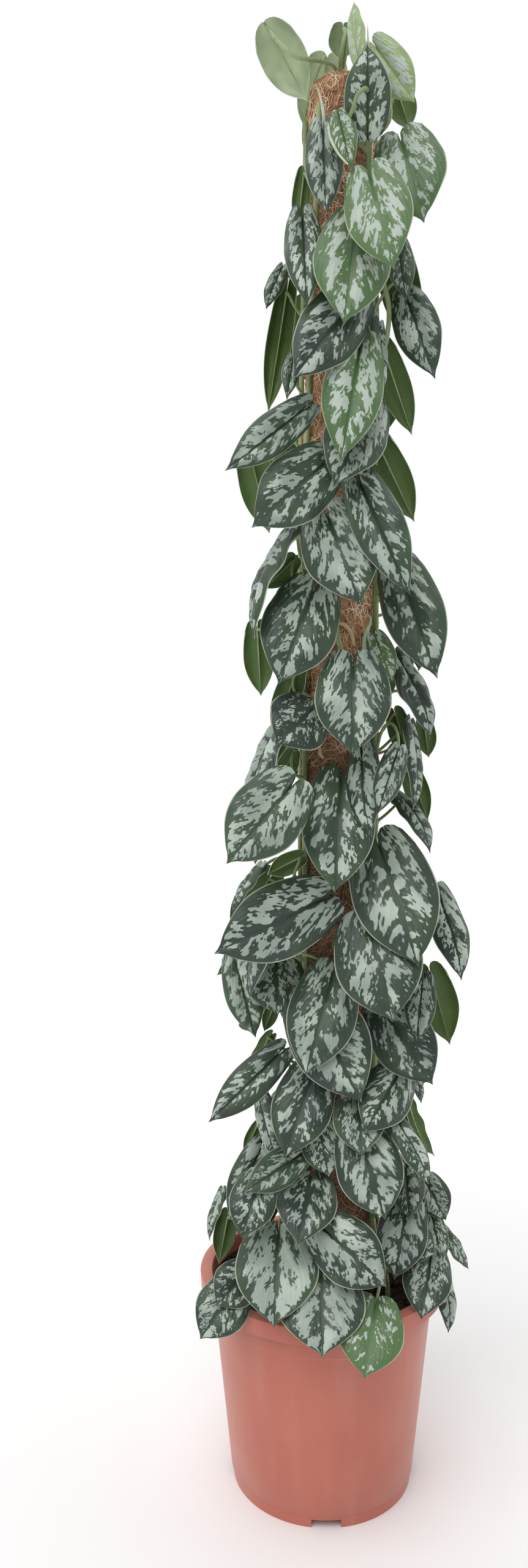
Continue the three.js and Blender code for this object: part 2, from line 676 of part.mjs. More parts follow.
/** A plant in the making: what is placed so far and how the rest keeps clear of it. */
class Plant {
  constructor() {
    this.eye = new Eye();
    this.nearness = new Nearness(this.eye);
    this.room = new Room();
    this.leaves = [];
    for (const point of fixedPoints()) {
      this.nearness.add(point);
      this.room.take(point, OWNER.fixed);
    }
    STEMS.forEach((stem, index) => {
      for (let z = SOIL.top; z <= STEM.top; z += 2) {
        const middle = stemPoint(stem, z);
        this.room.take(middle, OWNER.firstStem + index, 2);
        this.nearness.add(middle.clone().add(new THREE.Vector3(0, -STEM.radius, 0)));
      }
    });
  }

  /** A blade from a reading, with its notch and tip at the given distances behind the pot's axis. */
  readBlade(reading, notchY, tipY, seed) {
    const [notchX, notchPy, tipX, tipPy] = reading.at;
    const notch = this.eye.at([notchX, notchPy], notchY);
    const tip = this.eye.at([tipX, tipPy], tipY);
    const along = tip.clone().sub(notch).normalize();
    const towards = this.eye.place.clone().sub(notch).normalize();
    const plain = towards.clone().addScaledVector(along, -towards.dot(along)).normalize();
    const scale = this.eye.scale(notch);
    const seenWidth = reading.wide * scale;
    const seenLength = Math.hypot(tipX - notchX, tipPy - notchPy) * scale;
    const width = reading.turn ? Math.max(seenWidth, BLADE.aslant * seenLength) : seenWidth;
    const roll = reading.turn ? reading.turn * Math.acos(seenWidth / width) : 0;
    const sideways = new THREE.Vector3().crossVectors(plain, along);
    if (sideways.dot(this.eye.right) < 0) sideways.negate();
    const face = plain.multiplyScalar(Math.cos(roll)).addScaledVector(sideways, Math.sin(roll));
    if (reading.under) face.negate();
    return new Blade({ notch, tip, face, width, seed, lobe: reading.lobe });
  }

  /** Places a leaf by its reading: it comes forward, or leans out, until it clears what is behind it. */
  settle(reading, index) {
    const [notchX, notchPy, tipX, tipPy] = reading.at;
    const side = this.eye.at([notchX, notchPy], 0).x - POLE.x;
    const reach = poleRadius(1000) + 22;
    let notchY = reading.back ?? -Math.sqrt(Math.max(0, reach * reach - side * side));
    const length = Math.hypot(tipX - notchX, tipPy - notchPy) * this.eye.scale(new THREE.Vector3(0, notchY, 1000));
    const usual = 0.3 + 0.15 * Math.abs(tipPy - notchPy) / Math.hypot(tipX - notchX, tipPy - notchPy);
    let tipY = notchY - (reading.lean ?? usual) * length;
    let blade = this.readBlade(reading, notchY, tipY, index + 1);
    for (let turn = 0; turn < (reading.behind ? 0 : 14); turn += 1) {
      let push = 0;
      let tilt = 0;
      const short = blade.samples(2.4).map(({ u, point }) => ({ u, miss: this.nearness.shortfall(point) }));
      for (const { u, miss } of short) if (u < 0.35) push = Math.max(push, miss);
      for (const { u, miss } of short) if (u >= 0.35) tilt = Math.max(tilt, (miss - push) / u);
      if (push <= 0.02 && tilt <= 0.02) break;
      const room = Math.max(0, BLADE.steepest * length - (notchY - tipY));
      const leaning = Math.min(tilt, room);
      for (const { u, miss } of short) push = Math.max(push, miss - leaning * u);
      notchY -= push;
      tipY -= push + leaning;
      blade = this.readBlade(reading, notchY, tipY, index + 1);
    }
    for (const { point } of blade.samples(2.4)) this.nearness.add(point);
    this.keep(blade, reading);
  }

  /** Takes a placed blade into the plant. */
  keep(blade, reading) {
    const owner = OWNER.firstLeaf + this.leaves.length;
    for (const { point } of blade.samples(2)) this.room.take(point, owner);
    this.leaves.push({ blade, reading, owner, stem: reading.stem ?? -1, petiole: null, pieces: PETIOLE.pieces });
  }

  /** Tries blades for one place on a hidden stem until one clears everything and stays out of sight. */
  growHidden(stemIndex, z, seed) {
    const random = draws(seed);
    const stem = STEMS[stemIndex];
    for (let attempt = 0; attempt < 60; attempt += 1) {
      const angle = stemAngle(stem, z) + (random() - 0.5) * 1.5;
      const outward = new THREE.Vector3(Math.sin(angle), -Math.cos(angle), 0);
      const reach = poleRadius(z) + 14 + 44 * random();
      const length = 84 + 44 * random();
      const notch = new THREE.Vector3(POLE.x, 0, z + 12 + 40 * random()).addScaledVector(outward, reach);
      const lean = 0.25 + 0.65 * random();
      const swing = (random() - 0.5) * 1.3;
      const heading = outward.clone().applyAxisAngle(new THREE.Vector3(0, 0, 1), swing);
      const along = heading.multiplyScalar(Math.sin(lean)).add(new THREE.Vector3(0, 0, -Math.cos(lean)));
      const tip = notch.clone().addScaledVector(along, length);
      const face = outward.clone().add(new THREE.Vector3(0, 0, 0.5));
      const width = length * (BLADE.ratio + 0.1 * (random() - 0.5));
      const blade = new Blade({ notch, tip, face, width, seed: seed + attempt });
      const samples = blade.samples(3);
      const clear = samples.every(({ point }) => this.room.free(point, []));
      const seen = samples.filter(({ point }) => !this.nearness.covered(point)).length;
      if (clear && seen === 0) {
        this.keep(blade, { stem: stemIndex });
        return true;
      }
    }
    return false;
  }

  /** Whether a petiole along a curve keeps clear of all but the given owners, away from its own ends. */
  openWay(curve, owners, held) {
    const [start, end] = [curve.getPoint(0), curve.getPoint(1)];
    return spread(curve, PETIOLE.pieces).every((point) => (
      point.distanceTo(start) < PETIOLE.sunk || point.distanceTo(end) < held || this.room.free(point, owners)));
  }

  /** Possible petioles of a leaf on a stem, the most natural first. */
  * ways(leaf, stem) {
    const { notch, along, face } = leaf.blade;
    for (const drop of [26, 14, 38, 4, 52, -8, 66, -20, 84, -36, 104, -56]) {
      const z = notch.z - drop;
      if (z < SOIL.top + 24 || z > STEM.top - 6) continue;
      const start = stemPoint(stem, z);
      const outward = start.clone().setZ(0).sub(new THREE.Vector3(POLE.x, 0, 0)).normalize();
      const span = start.distanceTo(notch);
      for (const [away, rise, behind, over] of [
        [0.35, 0.2, 0.3, 0.1], [0.6, 0.1, 0.25, 0.3], [0.2, 0.6, 0.4, 0], [0.9, 0, 0.2, 0.2],
        [0.3, 0.9, 0.2, 0.5], [0.1, 0.1, 0.7, 0], [1.2, 0.5, 0.3, 0.6], [0.5, -0.3, 0.3, 0], [0.1, 1.2, 0.5, 0.8],
        [0.7, 0.9, 0, 0.9], [0.9, 0.9, 0.1, 0.1],
      ]) {
        yield new THREE.CubicBezierCurve3(
          start,
          start.clone().addScaledVector(outward, span * away).add(new THREE.Vector3(0, 0, span * rise)),
          notch.clone().addScaledVector(face, -span * behind).addScaledVector(along, -span * over),
          notch.clone().addScaledVector(along, 2),
        );
      }
    }
  }

  /** A petiole that can be followed by eye, from the nearest stem through its points to the leaf. */
  followed(leaf) {
    const places = ROUTES[leaf.reading.route].map(([px, py, y]) => this.eye.at([px, py], y));
    const stem = this.nearestStem(places[0]);
    const rise = places[1].z > places[0].z ? 10 : -10;
    const start = stemPoint(STEMS[stem], Math.min(places[0].z - rise, STEM.top - 6));
    leaf.stem = stem;
    leaf.petiole = new THREE.CatmullRomCurve3([start, ...places, leaf.blade.point(leaf.reading.joins ?? 0.02, 0)]);
    leaf.pieces = places.length + 1;
  }

  nearestStem(point) {
    const gaps = STEMS.map((stem) => stemPoint(stem, Math.min(point.z, STEM.top)).distanceTo(point));
    return gaps.indexOf(Math.min(...gaps));
  }

  /**
   * Gives a leaf the first petiole that is clear, from its nearest stem or else from the next. Where there is none,
   * the petiole may pass through another leaf of its own stem.
   */
  growPetiole(leaf) {
    const { notch } = leaf.blade;
    const order = STEMS.map((stem, index) => index).sort((a, b) => (
      stemPoint(STEMS[a], Math.min(notch.z, STEM.top)).distanceTo(notch)
      - stemPoint(STEMS[b], Math.min(notch.z, STEM.top)).distanceTo(notch)));
    const choices = leaf.stem >= 0 ? [leaf.stem] : order;
    for (const [crowded, held] of [[false, PETIOLE.held], [true, PETIOLE.held], [true, 2 * PETIOLE.held]]) {
      for (const index of choices.slice(0, 4)) {
        const siblings = this.leaves.filter(({ stem }) => crowded && stem === index).map(({ owner }) => owner);
        for (const curve of this.ways(leaf, STEMS[index])) {
          if (this.openWay(curve, [leaf.owner, OWNER.firstStem + index, ...siblings], held)) {
            leaf.stem = index;
            leaf.petiole = curve;
            return true;
          }
        }
      }
    }
    return false;
  }

  /** Marks a petiole, so that the next ones keep clear of it. */
  keepPetiole(leaf) {
    for (const point of spread(leaf.petiole, leaf.pieces)) this.room.take(point, leaf.owner, 2);
  }

  grow() {
    LEAVES.forEach((reading, index) => this.settle(reading, index));
    HIDDEN_LEAVES.forEach(({ stem, from, to, every }, column) => {
      let row = 0;
      for (let z = from; z <= to; z += every) {
        this.growHidden(stem, z, 1000 * (column + 1) + 70 * row);
        row += 1;
      }
    });
    for (const leaf of this.leaves.filter(({ reading }) => reading.route)) {
      this.followed(leaf);
      this.keepPetiole(leaf);
    }
    for (const leaf of this.leaves.filter(({ petiole }) => !petiole)) {
      if (this.growPetiole(leaf)) this.keepPetiole(leaf);
    }
  }
}

/** A stem with its petioles and leaves in one solid. */
function makeLeafyStem(plant, index) {
  const stem = STEMS[index];
  const heights = [SOIL.top - STEM.buried + 4, SOIL.top + 6, 240, 260, 280];
  for (let z = STEM.joinsPoleAt; z < STEM.top; z += STEM.step) heights.push(z);
  heights.push(STEM.top);
  const parts = [upright(heights.map((z) => stemPoint(stem, Math.max(z, SOIL.top)).setZ(z)), STEM.radius, STEM.sides)];
  for (const leaf of plant.leaves) {
    if (leaf.stem !== index || !leaf.petiole) continue;
    parts.push(leaf.blade.solid(), tube(leaf.petiole, PETIOLE.radius, PETIOLE.sides, leaf.pieces));
  }
  return whole(wasm.Manifold.union(parts).asOriginal().simplify(0.1));
}

/** The one body of a joined solid, without sealed hollows and loose scraps. */
function whole(solid) {
  const pieces = solid.decompose();
  return pieces.sort((a, b) => b.volume() - a.volume())[0];
}

/** The whole potted plant. */
function makePlant() {
  const plant = new Plant();
  plant.grow();
  const group = new THREE.Group();
  group.add(
    toMesh(makePot(), 'pot', { color: 0xc4705f, roughness: 0.45, metalness: 0 }),
    toMesh(makeSoil(), 'soil', { color: 0x2a1c16, roughness: 1, metalness: 0 }),
    toMesh(makeCore(), 'pole_core', { color: 0xa98a63, roughness: 0.8, metalness: 0 }),
    toMesh(makeCoir(), 'coir_sleeve', { color: 0x8a5637, roughness: 1, metalness: 0 }),
  );
  STEMS.forEach((stem, index) => {
    group.add(toMesh(makeLeafyStem(plant, index), stem.name, { color: 0x55705c, roughness: 0.4, metalness: 0 }));
  });
  const box = new THREE.Box3().setFromObject(group);
  const middle = box.getCenter(new THREE.Vector3());
  for (const mesh of group.children) mesh.geometry.translate(-middle.x, -middle.y, -box.min.z);
  return { group, plant };
}

const { group, plant } = makePlant();

export { plant };
export default group;
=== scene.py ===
"""Looks of a potted climbing aroid, Scindapsus treubii, on a coir pole in a nursery pot.

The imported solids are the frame. The fine leaves grow by the same seeded rule as the solids, so each blade and
petiole lies where its solid is. Lengths in the rule are millimetres from the pot's axis, with +X to the right,
+Y away from the viewer and +Z up, and every finished mesh is in metres in the frame of the solids.
"""
from __future__ import annotations

import logging
import math
from dataclasses import dataclass, field
from enum import Enum
from typing import Callable, Iterator, Optional, Sequence

import bpy
import numpy as np
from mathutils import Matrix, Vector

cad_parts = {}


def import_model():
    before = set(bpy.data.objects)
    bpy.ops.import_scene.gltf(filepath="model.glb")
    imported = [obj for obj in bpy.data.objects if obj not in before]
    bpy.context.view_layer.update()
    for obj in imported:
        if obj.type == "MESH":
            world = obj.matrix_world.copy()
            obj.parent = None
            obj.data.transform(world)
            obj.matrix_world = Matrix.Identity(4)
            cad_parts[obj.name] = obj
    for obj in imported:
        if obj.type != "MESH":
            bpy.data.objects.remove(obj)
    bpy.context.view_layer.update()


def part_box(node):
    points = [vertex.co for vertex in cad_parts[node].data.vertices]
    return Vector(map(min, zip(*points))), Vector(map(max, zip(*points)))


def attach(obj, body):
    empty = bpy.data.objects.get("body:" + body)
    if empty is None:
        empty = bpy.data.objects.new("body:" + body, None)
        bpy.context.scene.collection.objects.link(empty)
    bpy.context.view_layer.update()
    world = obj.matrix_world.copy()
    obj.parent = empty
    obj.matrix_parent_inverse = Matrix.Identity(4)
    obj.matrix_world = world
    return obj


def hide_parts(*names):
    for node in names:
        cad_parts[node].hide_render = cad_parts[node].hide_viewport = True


LOG = logging.getLogger("plant")
BODY = "root"
METRE = 0.001  # one millimetre in metres

Piece = bpy.types.Object
Material = bpy.types.Material
Socket = bpy.types.NodeSocket
Number = Socket | float
Colour = tuple[float, float, float]
Strand = tuple[np.ndarray, np.ndarray]  # points along its middle, and its radius at each of them


# Sizes of the pot, the pole and the stems
@dataclass(frozen=True)
class PotSizes:
    """Nursery pot, in millimetres."""

    height: float = 231.0
    foot_radius: float = 98.2
    flare: float = 0.105
    wall: float = 2.0
    foot_height: float = 13.0
    foot_step: float = 1.2
    floor_height: float = 9.0
    floor_thickness: float = 2.5
    band_height: float = 193.0
    band_step: float = 1.6
    rim_radius: float = 135.0
    rim_height: float = 18.0
    rim_wall: float = 2.2
    notch_width: float = 31.0
    notch_height: float = 9.0
    notches: int = 4
    drain_radius: float = 7.0
    drain_circle: float = 62.0
    drains: int = 6
    sides: int = 128

    @property
    def floor_top(self) -> float:
        """Height of the floor's upper face."""
        return self.floor_height + self.floor_thickness

    def radius(self, z: float) -> float:
        """Outer radius of the wall at a height."""
        step = 0.0 if z < self.foot_height else self.foot_step
        band = 0.0 if z < self.band_height else self.band_step
        return self.foot_radius + self.flare * z + step + band


@dataclass(frozen=True)
class PoleSizes:
    """Coir pole, in millimetres."""

    x: float = 17.0
    top: float = 1508.0
    thick_top: float = 33.5
    thick: float = 39.5
    taper_from: float = 1050.0

    def radius(self, z: float) -> float:
        """Outer radius of the sleeve at a height."""
        return lerp(self.thick, self.thick_top, smooth(z, self.taper_from, self.top))


@dataclass(frozen=True)
class SoilSizes:
    """Potting soil, in millimetres."""

    top: float = 213.0
    mound: float = 4.0


@dataclass(frozen=True)
class StemSizes:
    """A climbing stem and the grid in which it and its leaves keep clear, in millimetres."""

    radius: float = 3.2
    foot: float = 64.0
    buried: float = 40.0
    joins_pole_at: float = 300.0
    top: float = 1474.0
    gap: float = 0.3


@dataclass(frozen=True)
class PetioleSizes:
    """A leaf stalk, in millimetres, with the lengths at its ends that may touch its stem and its leaf."""

    radius: float = 2.1
    pieces: int = 2
    sunk: float = 11.0
    held: float = 4.0
    spacing: float = 1.0


@dataclass(frozen=True)
class BladeSizes:
    """Leaf blades: proportions, and clearance in millimetres."""

    thickness: float = 0.7
    ratio: float = 0.74
    aslant: float = 0.45
    lobe: float = 0.165
    clear: float = 2.8
    steepest: float = 1.1


@dataclass(frozen=True)
class Picture:
    """The photograph's frame in pixels, and the eye it was taken from in millimetres."""

    width: int = 862
    height: int = 2560
    focal: float = 1810.0
    cell: int = 3
    eye_x: float = -64.5
    eye_height: float = 827.0
    distance: float = 1206.0
    tilt: float = 0.05


POT = PotSizes()
POLE = PoleSizes()
SOIL = SoilSizes()
STEM = StemSizes()
PETIOLE = PetioleSizes()
BLADE = BladeSizes()
PICTURE = Picture()
VOXEL = 3.0
STEM_HEIGHTS = (0.0, 600.0, 1000.0, 1500.0)


@dataclass(frozen=True)
class Stem:
    """A climbing stem: its node's name and its angle round the pole at four heights, in degrees."""

    name: str
    angles: tuple[float, float, float, float]


STEMS = (
    Stem("leafy_stem_front_left", (-52, -60, -64, -40)),
    Stem("leafy_stem_front_right", (50, 62, 58, 44)),
    Stem("leafy_stem_left", (-98, -106, -104, -92)),
    Stem("leafy_stem_right", (100, 104, 108, 96)),
    Stem("leafy_stem_back_left", (-150, -158, -150, -140)),
    Stem("leafy_stem_back_right", (152, 148, 158, 146)),
)


class Age(Enum):
    """How old a leaf is, which sets its colour, from 0 (old and dark) to 1 (just unfolded)."""

    OLD = 0.0
    GROWN = 0.25
    FRESH = 0.55
    YOUNG = 0.85


@dataclass(frozen=True)
class Reading:
    """A leaf as the eye sees it: notch x, y, tip x, y and width across the midrib, in pixels.

    turn is the way that a blade seen aslant faces, under marks a leaf that shows its underside, back is how far
    its notch lies behind the pole's axis in millimetres, lean how much nearer its tip is than its notch, behind
    marks a leaf that the pole hides in part, and rolled one whose left margin is still rolled in.
    """

    at: tuple[float, float, float, float]
    wide: float
    turn: int = 0
    under: bool = False
    behind: bool = False
    back: Optional[float] = None
    lean: Optional[float] = None
    lobe: float = BLADE.lobe
    route: str = ""
    joins: float = 0.02
    stem: int = -1
    age: Optional[Age] = None
    silver: Optional[float] = None
    rolled: bool = False


@dataclass(frozen=True)
class HiddenRow:
    """Leaves at even heights on a stem, placed by a seeded rule where the eye doesn't see them."""

    stem: int
    low: int
    high: int
    every: int


def far(x: float, y: float, tip_x: float, tip_y: float, wide: float, back: float, **more) -> Reading:
    """A leaf on the far side of a flank, seen from below."""
    return Reading((x, y, tip_x, tip_y), wide, under=True, back=back, lean=0.0, **more)


def near(x: float, y: float, tip_x: float, tip_y: float, wide: float, **more) -> Reading:
    """A leaf on the near side, seen from above."""
    return Reading((x, y, tip_x, tip_y), wide, **more)


OLD, GROWN, FRESH, YOUNG = Age.OLD, Age.GROWN, Age.FRESH, Age.YOUNG
READINGS = (
    # on the far side of the flanks, seen from below
    far(372, 1985, 358, 2062, 36, 2),
    far(420, 1838, 398, 1886, 22, 20),
    far(666, 1802, 706, 1888, 24, 12, turn=1),
    far(440, 1694, 399, 1757, 26, 12, turn=-1),
    far(448, 1640, 431, 1684, 24, 15),
    far(395, 1558, 354, 1592, 20, 25),
    far(703, 1590, 734, 1703, 64, 10),
    far(440, 1434, 378, 1532, 66, 14),
    far(490, 1400, 436, 1428, 36, 14),
    far(668, 1255, 699, 1340, 40, 10),
    far(478, 1230, 458, 1276, 34, 8),
    far(645, 1165, 668, 1240, 40, 22),
    far(692, 1178, 700, 1237, 34, 18),
    far(484, 1095, 446, 1204, 46, 14),
    far(420, 1028, 426, 1137, 50, 14),
    far(478, 915, 432, 962, 40, 12),
    far(408, 738, 440, 872, 60, 14),
    far(616, 722, 677, 853, 58, 6),
    far(627, 572, 673, 712, 50, 4, route="thick"),
    far(468, 478, 437, 678, 42, 10),
    far(640, 400, 672, 562, 66, 26),
    far(496, 284, 486, 374, 30, 10),
    far(648, 146, 670, 212, 46, 16),
    Reading((533, 104, 519, 240), 84, under=True, behind=True, back=47, lean=-0.06, age=YOUNG),
    far(560, 44, 556, 100, 44, 0, route="upright", age=FRESH),
    far(432, 38, 503, 168, 74, -20, lobe=0.04, route="arching", age=YOUNG),
    # hanging over the pot
    near(722, 2008, 766, 2072, 22, turn=1, back=12, lean=0.0),
    near(724, 2085, 735, 2176, 30, turn=1, back=-8),
    near(705, 1985, 722, 2068, 38, turn=1, back=-14),
    near(703, 2052, 688, 2152, 78),
    near(386, 2101, 327, 2186, 86),
    near(402, 2076, 354, 2132, 74),
    near(362, 1948, 339, 2024, 18, turn=-1, back=15),
    near(612, 2132, 595, 2250, 106, age=FRESH, silver=0.35),
    near(523, 2078, 527, 2214, 142, silver=0.78),
    near(455, 2015, 447, 2166, 134, silver=0.78),
    near(694, 1928, 728, 1992, 56, turn=1),
    near(668, 2022, 709, 2048, 60),
    near(664, 1970, 644, 2088, 82),
    near(662, 1908, 668, 1990, 58),
    near(530, 2008, 631, 2101, 102, silver=0.7),
    near(507, 1922, 488, 2028, 99),
    near(425, 1876, 374, 1992, 58, turn=-1),
    near(424, 1925, 394, 2020, 76),
    # lower third
    near(426, 1796, 461, 1912, 34, turn=-1),
    near(492, 1884, 400, 1945, 60),
    near(520, 1836, 537, 1921, 70),
    near(588, 1858, 629, 1991, 108),
    near(650, 1836, 703, 1932, 38, turn=1),
    near(585, 1792, 591, 1886, 86),
    near(512, 1752, 465, 1889, 98),
    near(673, 1742, 689, 1801, 20, turn=1, back=10),
    near(650, 1752, 596, 1848, 86),
    near(454, 1722, 341, 1832, 62),
    near(628, 1652, 706, 1770, 102),
    near(385, 1572, 417, 1693, 62, back=-10),
    near(450, 1572, 452, 1657, 100),
    near(505, 1632, 590, 1799, 128),
    near(543, 1594, 499, 1755, 112),
    near(690, 1600, 680, 1701, 50, turn=1),
    near(715, 1462, 757, 1598, 58, turn=1, back=-8),
    near(605, 1432, 602, 1522, 52),
    near(603, 1508, 641, 1668, 142),
    near(424, 1418, 377, 1494, 18, turn=-1),
    near(523, 1470, 352, 1556, 122),
    # middle third
    near(620, 1384, 683, 1577, 138),
    near(653, 1305, 705, 1388, 30, turn=1),
    near(557, 1278, 546, 1457, 118),
    near(467, 1172, 402, 1347, 30, turn=-1),
    near(473, 1286, 371, 1409, 122),
    near(592, 1226, 603, 1364, 56, turn=-1),
    near(670, 1190, 679, 1321, 20, turn=1),
    near(648, 1230, 616, 1328, 46),
    near(508, 1158, 454, 1212, 106, lean=0.9),
    near(655, 1062, 668, 1108, 28, turn=1),
    near(650, 1078, 708, 1201, 42, turn=1),
    near(614, 1042, 640, 1112, 44, age=FRESH),
    near(576, 1085, 577, 1231, 124, route="hanging"),
    near(510, 968, 456, 1113, 124),
    near(478, 868, 404, 1036, 22, turn=-1),
    near(652, 932, 713, 1105, 98),
    # upper third
    near(536, 845, 588, 985, 124, age=GROWN),
    near(588, 790, 668, 968, 84, age=GROWN),
    near(528, 758, 415, 858, 112, age=GROWN),
    near(600, 668, 548, 788, 102, age=GROWN),
    near(494, 670, 372, 765, 66, age=GROWN),
    near(618, 538, 617, 656, 26, turn=1, age=GROWN),
    near(587, 570, 557, 750, 98, age=FRESH),
    near(478, 588, 469, 647, 30, age=GROWN),
    near(580, 485, 481, 615, 104, age=OLD),
    near(665, 490, 708, 612, 74, age=GROWN),
    near(650, 398, 662, 486, 44, turn=1, age=GROWN),
    near(460, 440, 434, 502, 28, turn=-1, age=GROWN),
    near(494, 358, 500, 490, 64, age=GROWN),
    near(582, 368, 562, 525, 126, age=FRESH),
    # crown
    near(527, 214, 532, 346, 62, age=GROWN),
    near(655, 231, 690, 356, 120, age=FRESH),
    near(604, 290, 642, 435, 110, age=FRESH),
    near(614, 78, 676, 166, 66, back=-4, lean=0.1, age=YOUNG),
    near(588, 100, 574, 1, 30, back=6, lean=-0.2, turn=-1, age=YOUNG),
    near(600, 226, 600, 68, 76, lobe=0.05, lean=-0.15, route="looped", joins=0.47, age=GROWN),
    near(552, 184, 573, 273, 44, lobe=0.04, stem=1, age=FRESH, rolled=True),
)

# Petioles that can be followed: x, y in pixels and how far behind the pot's axis in millimetres
ROUTES: dict[str, tuple[tuple[float, float, float], ...]] = {
    "arching": ((552, 165, 39), (553, 128, 16), (545, 108, 6), (530, 101, -12), (500, 96, -30), (482, 92, -34),
                (456, 70, -34)),
    "upright": ((553, 164, 39), (554, 128, 15), (556, 100, -5), (560, 74, -9), (564, 54, -8)),
    "looped": ((568, 204, -62), (577, 175, -66), (584, 154, -70), (596, 144, -72)),
    "hanging": ((535, 935, -46), (545, 1000, -47), (556, 1056, -50), (566, 1084, -55)),
    "thick": ((620, 450, -30), (633, 490, -34), (635, 520, -36)),
}


class Part(Enum):
    """What a round strand on a stem is."""

    STALK = "stalk"
    SHEATH = "sheath"
    ROOT = "aerial_root"


@dataclass(frozen=True)
class Sprout:
    """A small growth that can be followed, on the stem with the given number.

    way holds x and y in pixels, how far behind the pot's axis and the radius, both in millimetres.
    """

    stem: int
    part: Part
    way: tuple[tuple[float, float, float, float], ...]


SPROUTS = (
    # the crown: a pale tongue, the tip of a spear, and a second upright stalk
    Sprout(0, Part.SHEATH, (
        (519, 232, -28, 2.2), (527, 218, -38, 2.5), (529, 198, -45, 2.3), (526, 172, -49, 1.7),
        (521, 152, -51, 1.0), (516, 138, -52, 0.3))),
    Sprout(1, Part.SHEATH, (
        (601, 172, -26, 1.8), (602, 120, -21, 1.8), (601, 72, -17, 1.2), (600, 42, -15, 0.25))),
    Sprout(5, Part.STALK, (
        (553, 164, 39, 2.0), (557, 130, 17, 2.2), (562, 100, -2, 2.2), (567, 72, -8, 2.0), (571, 50, -8, 1.5))),
    # a rolled young leaf with a curled tip
    Sprout(1, Part.SHEATH, (
        (612, 1096, -24, 3.0), (605, 1076, -36, 6.0), (601, 1060, -39, 7.0), (598, 1044, -40, 4.6),
        (599, 1030, -41, 2.6), (604, 1018, -42, 1.6), (605, 1009, -43, 1.0), (599, 1002, -44, 0.35))),
    # aerial roots
    Sprout(0, Part.ROOT, (
        (544, 1010, -46, 1.8), (550, 1016, -47, 2.3), (561, 1019, -47, 2.4), (571, 1029, -44, 2.3),
        (576, 1042, -42, 2.1), (578, 1054, -38, 1.6))),
    Sprout(0, Part.ROOT, (
        (498, 1205, -22, 1.4), (512, 1211, -34, 1.4), (521, 1219, -37, 1.6), (523, 1231, -38, 1.8),
        (528, 1238, -40, 1.1))),
    Sprout(3, Part.ROOT, ((613, 1232, 8, 1.5), (630, 1226, -6, 1.5), (642, 1221, -14, 1.5))),
    Sprout(3, Part.ROOT, ((616, 736, 8, 1.4), (622, 750, 3, 1.8), (625, 778, 1, 2.0), (628, 808, 1, 1.5))),
)

HIDDEN_ROWS = (
    HiddenRow(2, 300, 1420, 96),
    HiddenRow(3, 330, 1400, 96),
    HiddenRow(4, 270, 1450, 62),
    HiddenRow(5, 296, 1470, 62),
)

# Bends that a petiole may take, the most natural first: how far its pull points lie off, as shares of its span
DROPS = (26, 14, 38, 4, 52, -8, 66, -20, 84, -36, 104, -56)
BENDS = (
    (0.35, 0.2, 0.3, 0.1), (0.6, 0.1, 0.25, 0.3), (0.2, 0.6, 0.4, 0), (0.9, 0, 0.2, 0.2), (0.3, 0.9, 0.2, 0.5),
    (0.1, 0.1, 0.7, 0), (1.2, 0.5, 0.3, 0.6), (0.5, -0.3, 0.3, 0), (0.1, 1.2, 0.5, 0.8), (0.7, 0.9, 0, 0.9),
    (0.9, 0.9, 0.1, 0.1),
)


# Small mathematics
def lerp(low: float, high: float, share: float) -> float:
    """The value a share of the way from low to high."""
    return low + (high - low) * share


def smooth(value: float, low: float, high: float) -> float:
    """Smooth step from 0 at low to 1 at high."""
    share = min(1.0, max(0.0, (value - low) / (high - low)))
    return share * share * (3 - 2 * share)


def vector(x: float, y: float, z: float) -> np.ndarray:
    """A point or direction."""
    return np.array((x, y, z), dtype=float)


def unit(way: np.ndarray) -> np.ndarray:
    """A direction at length one."""
    return way / np.linalg.norm(way)


def spun(rows: np.ndarray, turn: float) -> np.ndarray:
    """Points turned round the upright axis."""
    x, y, z = rows[..., 0], rows[..., 1], rows[..., 2]
    cos, sin = math.cos(turn), math.sin(turn)
    return np.stack((x * cos - y * sin, x * sin + y * cos, z), axis=-1)


def ringed(x: float, radius: np.ndarray | float, turns: np.ndarray, z: np.ndarray | float) -> np.ndarray:
    """Points round an upright axis that stands at x, with their angles counted from the front."""
    return np.stack(np.broadcast_arrays(x + radius * np.sin(turns), -radius * np.cos(turns), z), axis=1)


def draws(seed: int) -> Callable[[], float]:
    """Repeatable draws between 0 and 1.

    Args:
        seed: a whole number.

    Returns:
        A function that gives the next draw each time it is called.
    """
    whole = 0xFFFFFFFF
    state = seed & whole

    def draw() -> float:
        """The next draw."""
        nonlocal state
        state = (state + 0x6D2B79F5) & whole
        mixed = ((state ^ (state >> 15)) * (1 | state)) & whole
        mixed = ((mixed + (((mixed ^ (mixed >> 7)) * (61 | mixed)) & whole)) ^ mixed) & whole
        return (mixed ^ (mixed >> 14)) / 4294967296

    return draw


